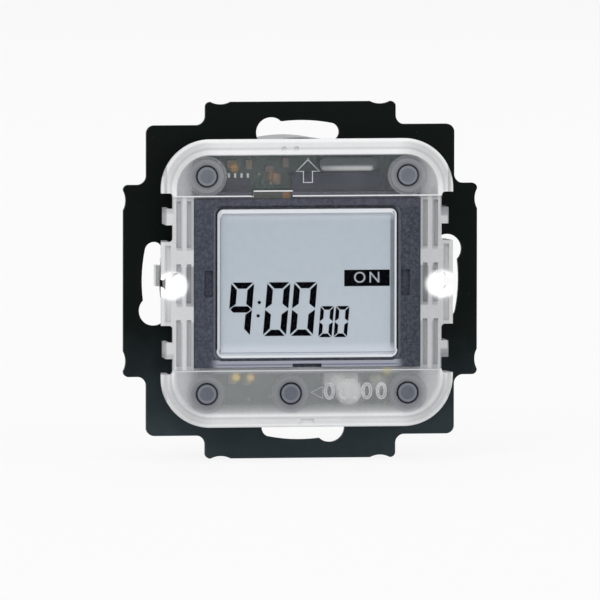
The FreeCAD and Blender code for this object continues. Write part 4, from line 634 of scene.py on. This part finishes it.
def bar(points):
    """One dark bar of the display: a flat polygon, drawn out to its thickness."""
    bpy.ops.mesh.primitive_circle_add(vertices=len(points), fill_type="NGON")
    piece = bpy.context.object
    bpy.ops.object.mode_set(mode="EDIT")
    shape = bmesh.from_edit_mesh(piece.data)
    shape.verts.ensure_lookup_table()
    for vertex, (across, up) in zip(shape.verts, points):
        vertex.co = Vector((across, figures_back, up)) * MM
    bmesh.update_edit_mesh(piece.data)
    bpy.ops.mesh.select_all(action="SELECT")
    bpy.ops.mesh.extrude_region_move(TRANSFORM_OT_translate={"value": (0.0, -figures_thickness * MM, 0.0)})
    bpy.ops.mesh.select_all(action="SELECT")
    bpy.ops.mesh.normals_make_consistent(inside=False)
    bpy.ops.object.mode_set(mode="OBJECT")
    bpy.ops.object.select_all(action="DESELECT")
    return piece


def figure(left, low, width, height, thickness, slant, lit):
    """A seven-bar figure whose lower left corner is at left, low. Lit names its dark bars."""
    cut = bar_cut * thickness
    middle = height / 2
    lean = 0.85 * thickness
    right_top = [(width, height - cut), (width, middle + cut / 2), (width - thickness, middle + lean),
                 (width - thickness, height - thickness - cut)]
    right_low = [(width, middle - cut / 2), (width, cut), (width - thickness, thickness + cut),
                 (width - thickness, middle - lean)]
    bars = {
        "top": [(cut, height), (width - cut, height), (width - cut - thickness, height - thickness),
                (cut + thickness, height - thickness)],
        "bottom": [(cut, 0.0), (width - cut, 0.0), (width - cut - thickness, thickness),
                   (cut + thickness, thickness)],
        "right_top": right_top,
        "right_low": right_low,
        "left_top": [(width - across, up) for across, up in right_top],
        "left_low": [(width - across, up) for across, up in right_low],
        "middle": [(cut, middle), (cut + thickness / 2, middle + thickness / 2),
                   (width - cut - thickness / 2, middle + thickness / 2), (width - cut, middle),
                   (width - cut - thickness / 2, middle - thickness / 2),
                   (cut + thickness / 2, middle - thickness / 2)],
    }
    return [bar([(left + across + slant * up, low + up) for across, up in bars[name]]) for name in lit]


zero = ("top", "bottom", "right_top", "right_low", "left_top", "left_low")
nine = ("top", "left_top", "right_top", "middle", "right_low")

# Height, bar thickness and slant of the large and the small figures, then their places
large, small = (10.68, 1.24, 0.084), (6.18, 0.72, 0.08)
nine_left, nine_width = -15.93, 4.58
large_zeros, large_width, large_low = (-8.72, -3.34), 4.62, -10.56
small_zeros, small_width, small_low = (2.36, 5.44), 2.68, -10.88
colon_dots, dot_reach = ((-9.45, -3.87), (-9.67, -6.53)), 0.42
word_left, word_right, word_low, word_top = 7.56, 16.68, -0.78, 2.48

figures = figure(nine_left, large_low, nine_width, *large, nine)
for left in large_zeros:
    figures += figure(left, large_low, large_width, *large, zero)
for left in small_zeros:
    figures += figure(left, small_low, small_width, *small, zero)
for across, up in colon_dots:
    figures.append(bar([(across, up + dot_reach), (across + dot_reach, up),
                        (across, up - dot_reach), (across - dot_reach, up)]))
figures.append(bar([(word_left, word_low), (word_right, word_low),
                    (word_right, word_top), (word_left, word_top)]))
for piece in figures:
    piece.select_set(True)
bpy.context.view_layer.objects.active = figures[0]
bpy.ops.object.join()
figures = bpy.context.object
figures.name = "display_figures"
bpy.ops.object.select_all(action="DESELECT")

fix(figures, ink("figure_dark", colour(1, 1, 5), colour(4, 5, 11), 0.6, specular=0.0))

word_size, word_place, word_thickness = 3.1, (12.1, -9.832, 0.85), 0.012
word = lettering("display_word", "ON", word_size, word_place, word_thickness, spread=1.3)
fix(word, ink("word_light", colour(164, 172, 182), colour(182, 190, 200), 0.4))


# Buttons. Soft grey caps moulded in one piece with their flange. They are finely matt with a painted
# highlight on their rounded edge, and the lower three look a little darker and bluer than the upper two.

def away_from(x, z, middle):
    """How far a point is from the middle of a button, in millimetres."""
    out_x, out_z = x - middle[0], z - middle[1]
    return (out_x * out_x + out_z * out_z).root()


buttons = [name for name in nodes if name.startswith("button_") and name != "button_switches"]
button_middles = [middle_of(name) for name in buttons]

button_finish, value, end = new_material("button_grey")
place, x, y, z = place_parts(value)
fine = noise(value, place, 0.28, 2.0, 0.7)
patches = noise(value, place, 2.2)
away = away_from(x, z, button_middles[0])
for middle in button_middles[1:]:
    away = away_from(x, z, middle).below(away)
cap_tone = (fine * 0.5 + patches * 0.5).smooth(0.3, 0.7).blend(colour(98, 103, 111), colour(113, 118, 126))
cap_tone = (z.smooth(0.0, -10.0) * 0.4).blend(cap_tone, colour(74, 80, 96))
# Painted highlight on the rounded edge of each cap
cap_tone = (away.between(1.45, 1.7, 0.15) * 0.45).blend(cap_tone, colour(142, 147, 155))
cap_tone = away.smooth(1.84, 1.94).blend(cap_tone, colour(56, 58, 66))
show(value, end, {
    "Base Color": cap_tone,
    "Roughness": 0.52 + (fine - 0.5) * 0.16,
    "Specular IOR Level": 0.35,
    "Normal": bump(value, 0.5, 0.015, fine),
})
give(button_finish, *buttons)


# Front cover. Injection moulded in frosted polycarbonate: what lies behind shows through its thin
# face, while the rim, the side rails and the ridges scatter the light and look white.

# Half the width, half the height and the corner radius of the cover, and where the band begins
cover_edge = (29.2, 28.6, 9.8)
band_edge = 17.2
rail_inner, tab_inner = 22.5, 28.0
screw_notch = (-4.3, 3.2)

cover_finish, value, end = new_material("frosted_cover")
place, x, y, z = place_parts(value)
across, up = abs(x), abs(z)
cloud = noise(value, place, 4.5, 2.0)
fine = noise(value, place, 0.45)
grain = noise(value, place, 0.6, 4.0, 0.8)
depth = edge_depth(x, z, *cover_edge)

# Zones of the cover: the end parts, the upper half, the corners, the rim and its lines
end_part = up.smooth(band_edge - 0.02, band_edge + 0.02)
upper = z.smooth(8.0, 16.0)
corner = across.smooth(17.0, 24.0) * up.smooth(16.0, 23.0)
rim = upper.mix(1.0 - depth.smooth(2.3, 3.5), 1.0 - depth.smooth(2.9, 3.4))
edge_line = 1.0 - depth.smooth(0.25, 0.9)
thin_line = depth.between(1.75, 1.95, 0.3)
bright_ring = depth.between(2.2, 2.8, 0.3)
side_glow = across.smooth(20.5, 25.6)
low_glow = z.smooth(-23.4, -26.2)
rail = (1.0 - end_part) * across.smooth(rail_inner, rail_inner + 0.25)
small_tab = across.smooth(tab_inner, tab_inner + 0.2) * up.smooth(10.0, 11.0)
small_tab = small_tab * (1.0 - across.smooth(28.75, 28.9) * 0.7)
walls = y.smooth(-9.9, -9.7) * (1.0 - depth.smooth(2.2, 2.6))

# How milky each zone is
haze = 0.09 + z.smooth(2.0, -18.0) * 0.22
haze = haze + side_glow.above(low_glow) * upper.mix(0.28, 0.34)
haze = haze.above(rail * (0.86 - small_tab * 0.54))
haze = haze.above(rim * (upper.mix(0.86, 0.94) - corner * 0.29 + edge_line * 0.2 - small_tab * 0.4))
haze = haze.above(walls * (0.88 - corner * 0.2 - small_tab * 0.56))
haze = haze + (cloud - 0.5) * 0.08 + (grain - 0.5) * 0.20

# The tone of the face and the rim
face_tone = z.smooth(5.0, -18.0).blend(colour(170, 176, 182), colour(186, 190, 191))
face_tone = side_glow.above(low_glow).blend(face_tone, colour(214, 217, 219))
face_tone = rim.blend(face_tone, colour(240, 241, 242))

# The side rails, with painted shade in their grooves, in the sunk parts outside the tabs, beside the screws and
# on the right rail
in_tab = across.smooth(27.0, 27.2)
sunk = y.between(-10.6, -10.15, 0.1) * across.smooth(28.35, 28.3) * (1.0 - end_part)
grooved = z.between(6.9, 17.2, 0.5).above(z.between(*screw_notch, 0.5)).above(z.between(-17.2, -7.9, 0.5))
groove_shade = across.between(22.7, 24.0, 0.25).above(across.between(25.1, 26.0, 0.25)) * grooved
groove_shade = groove_shade.above(across.between(26.9, 28.3, 0.5) * up.smooth(13.6, 14.4) * 0.8)
shade_by_screw = across.smooth(24.4, 24.2) * z.between(*screw_notch, 0.3)
rail_tone = groove_shade.blend(colour(226, 227, 228), colour(192, 194, 197))
rail_tone = (shade_by_screw * 0.6).blend(rail_tone, colour(150, 152, 155))
sunk_tone = shade_by_screw.blend(colour(208, 210, 212), colour(170, 172, 175))
sunk_tone = in_tab.blend(sunk_tone, colour(234, 235, 236))
rail_tone = sunk.blend(rail_tone, sunk_tone)
# Painted shade on the right rail, deepest on its outer strip near the ends
outer_strip = across.between(26.9, 28.0, 0.3) * up.smooth(12.9, 13.6)
rail_tone = (x.smooth(20.0, 22.0) * (0.22 + outer_strip * 0.5)).blend(rail_tone, colour(112, 116, 120))
face_tone = rail.blend(face_tone, rail_tone)

# Painted highlights along the edge and the ring of the rim of the end parts, and a thin grey line between them
rim_highlights = (edge_line * 0.9).above(bright_ring * (1.0 - corner * 0.5)) * rim * end_part
face_tone = rim_highlights.blend(face_tone, colour(250, 251, 252))
face_tone = (thin_line * rim * end_part * 0.5).blend(face_tone, colour(200, 202, 206))

# Ridges where the end parts step down to the band round the display, with a notch below the chip: a painted
# highlight along each ridge, and a dark line above and beside the notch
at_face = y.smooth(-11.2, -11.3)
notch = x.between(-10.8, -3.0, 0.05) * z.smooth(0.0, 0.1)
ridge = abs(up - (band_edge + 0.14) - notch)
ridge = (1.0 - ridge.smooth(0.08, 0.2)) * (1.0 - across.smooth(28.0, 28.4)) * at_face
haze = haze.above(ridge * (0.68 + upper * 0.26))
face_tone = ridge.blend(face_tone, colour(240, 241, 243))
over_ridge = x.between(-11.1, -2.9, 0.1) * z.between(band_edge + 1.42, band_edge + 1.62, 0.12)
beside_ridge = x.between(-11.2, -10.95, 0.1) * z.between(band_edge + 0.2, band_edge + 1.5, 0.1)
dark_line = over_ridge.above(beside_ridge) * at_face
haze = haze.above(dark_line * 0.5)
face_tone = dark_line.blend(face_tone, colour(58, 62, 62))

# Bright parts behind the face show as soft spots in it: place, reach, strength and tone
spots = [
    (-14.6, 22.9, 1.0, 0.24, (206, 160, 104)),
    (-6.9, 21.2, 1.3, 0.18, (200, 164, 138)),
    (-14.2, -18.6, 1.05, 0.42, (255, 236, 186)),
    (-11.3, -18.7, 0.98, 0.40, (250, 228, 190)),
    (16.0, -17.6, 1.0, 0.22, (232, 222, 180)),
    (8.8, -21.4, 2.9, 0.36, (236, 237, 237)),
    (6.2, -19.7, 1.7, 0.24, (232, 233, 233)),
    (14.2, -20.2, 1.8, 0.14, (228, 230, 228)),
]
for spot_x, spot_z, reach, strength, tone in spots:
    out_x, out_z = (x - spot_x) / reach, (z - spot_z) / reach
    spot = (out_x * out_x + out_z * out_z).smooth(1.5, 0.0)
    face_tone = (spot * 0.9).blend(face_tone, colour(*tone))
    haze = haze.above(spot * strength)

# A shallow dish round each button, a little darker towards it, a painted shadow in the gap inside it and a
# painted highlight on the thin lip of its edge
gap_shade_tone = z.smooth(0.0, -10.0).blend(colour(76, 79, 85), colour(58, 61, 70))
for middle in button_middles:
    away = away_from(x, z, middle)
    dish = 1.0 - away.smooth(2.9, 4.0)
    gap = 1.0 - away.smooth(2.15, 2.4)
    lip = away.between(3.72, 3.86, 0.2)
    dish_tone = away.smooth(2.4, 3.6).blend(colour(150, 153, 159), colour(164, 167, 171))
    face_tone = dish.blend(face_tone, dish_tone)
    face_tone = gap.blend(face_tone, gap_shade_tone)
    haze = haze * (1.0 - dish) + dish * 0.62
    haze = haze.above(gap * 0.82)
    haze = haze.above(lip * 0.36)
    face_tone = (lip * 0.6).blend(face_tone, colour(188, 191, 195))

# The painted light and glow round the claw screws lie over all else
light = access_light(x, y, z)
face_tone = light.blend(face_tone, colour(255, 255, 255))
haze = haze.above(light)

show(value, end, {
    "Base Color": face_tone,
    "Roughness": 0.42 + (fine - 0.5) * 0.12,
    "Alpha": haze.above(0.0).below(1.0),
    "Emission Color": light.blend(colour(0, 0, 0), painted_access_glow),
    "Emission Strength": 1.0,
    "Normal": bump(value, 0.3, 0.01, fine),
})
give(cover_finish, "front_cover")


# Marks in the cover. An arrow that shows which way is up, a small arrow that points to the middle
# button, and a row of plain figures, all cut into the tool as thin clear outlines.

mark_front, mark_width = -11.4, 0.13


def outline(name, points):
    """A closed thin line through the points, as round as a wire."""
    bpy.ops.mesh.primitive_circle_add(vertices=len(points), fill_type="NOTHING")
    piece = bpy.context.object
    piece.name = name
    bpy.ops.object.mode_set(mode="EDIT")
    shape = bmesh.from_edit_mesh(piece.data)
    shape.verts.ensure_lookup_table()
    for vertex, (across, up) in zip(shape.verts, points):
        vertex.co = Vector((across, mark_front + mark_width, up)) * MM
    bmesh.update_edit_mesh(piece.data)
    bpy.ops.object.mode_set(mode="OBJECT")
    bpy.ops.object.convert(target="CURVE")
    piece = bpy.context.object
    piece.data.bevel_depth = mark_width * MM
    piece.data.bevel_resolution = 1
    bpy.ops.object.convert(target="MESH")
    piece = bpy.context.object
    bpy.ops.object.select_all(action="DESELECT")
    return piece


up_arrow = [(0.05, 24.5), (2.35, 22.2), (0.95, 22.2), (0.95, 20.0), (-0.85, 20.0), (-0.85, 22.2), (-2.25, 22.2)]
button_arrow = [(0.75, -21.75), (3.1, -20.55), (3.1, -22.95)]
row_words, row_size, row_spread = "00:00", 4.5, 1.3
row_across, row_up = 9.6, -21.7
fill_behind, fill_thickness = 0.1, 0.08

mark_finish = ink("mark_outline", colour(214, 216, 220), colour(240, 241, 244), 0.2, opacity=(0.8, 0.3))
fix(outline("up_arrow", up_arrow), mark_finish)
fix(outline("button_arrow", button_arrow), mark_finish)
row = lettering("reset_figures", row_words, row_size, (row_across, mark_front + mark_width, row_up),
                outline=mark_width, spread=row_spread)
fix(row, mark_finish)

fill_finish = ink("mark_fill", colour(206, 208, 210), colour(226, 227, 229), 0.4, opacity=(0.4, 0.2))
fill = lettering("reset_figures_fill", row_words, row_size, (row_across, mark_front + fill_behind, row_up),
                 fill_thickness, spread=row_spread)
fix(fill, fill_finish)
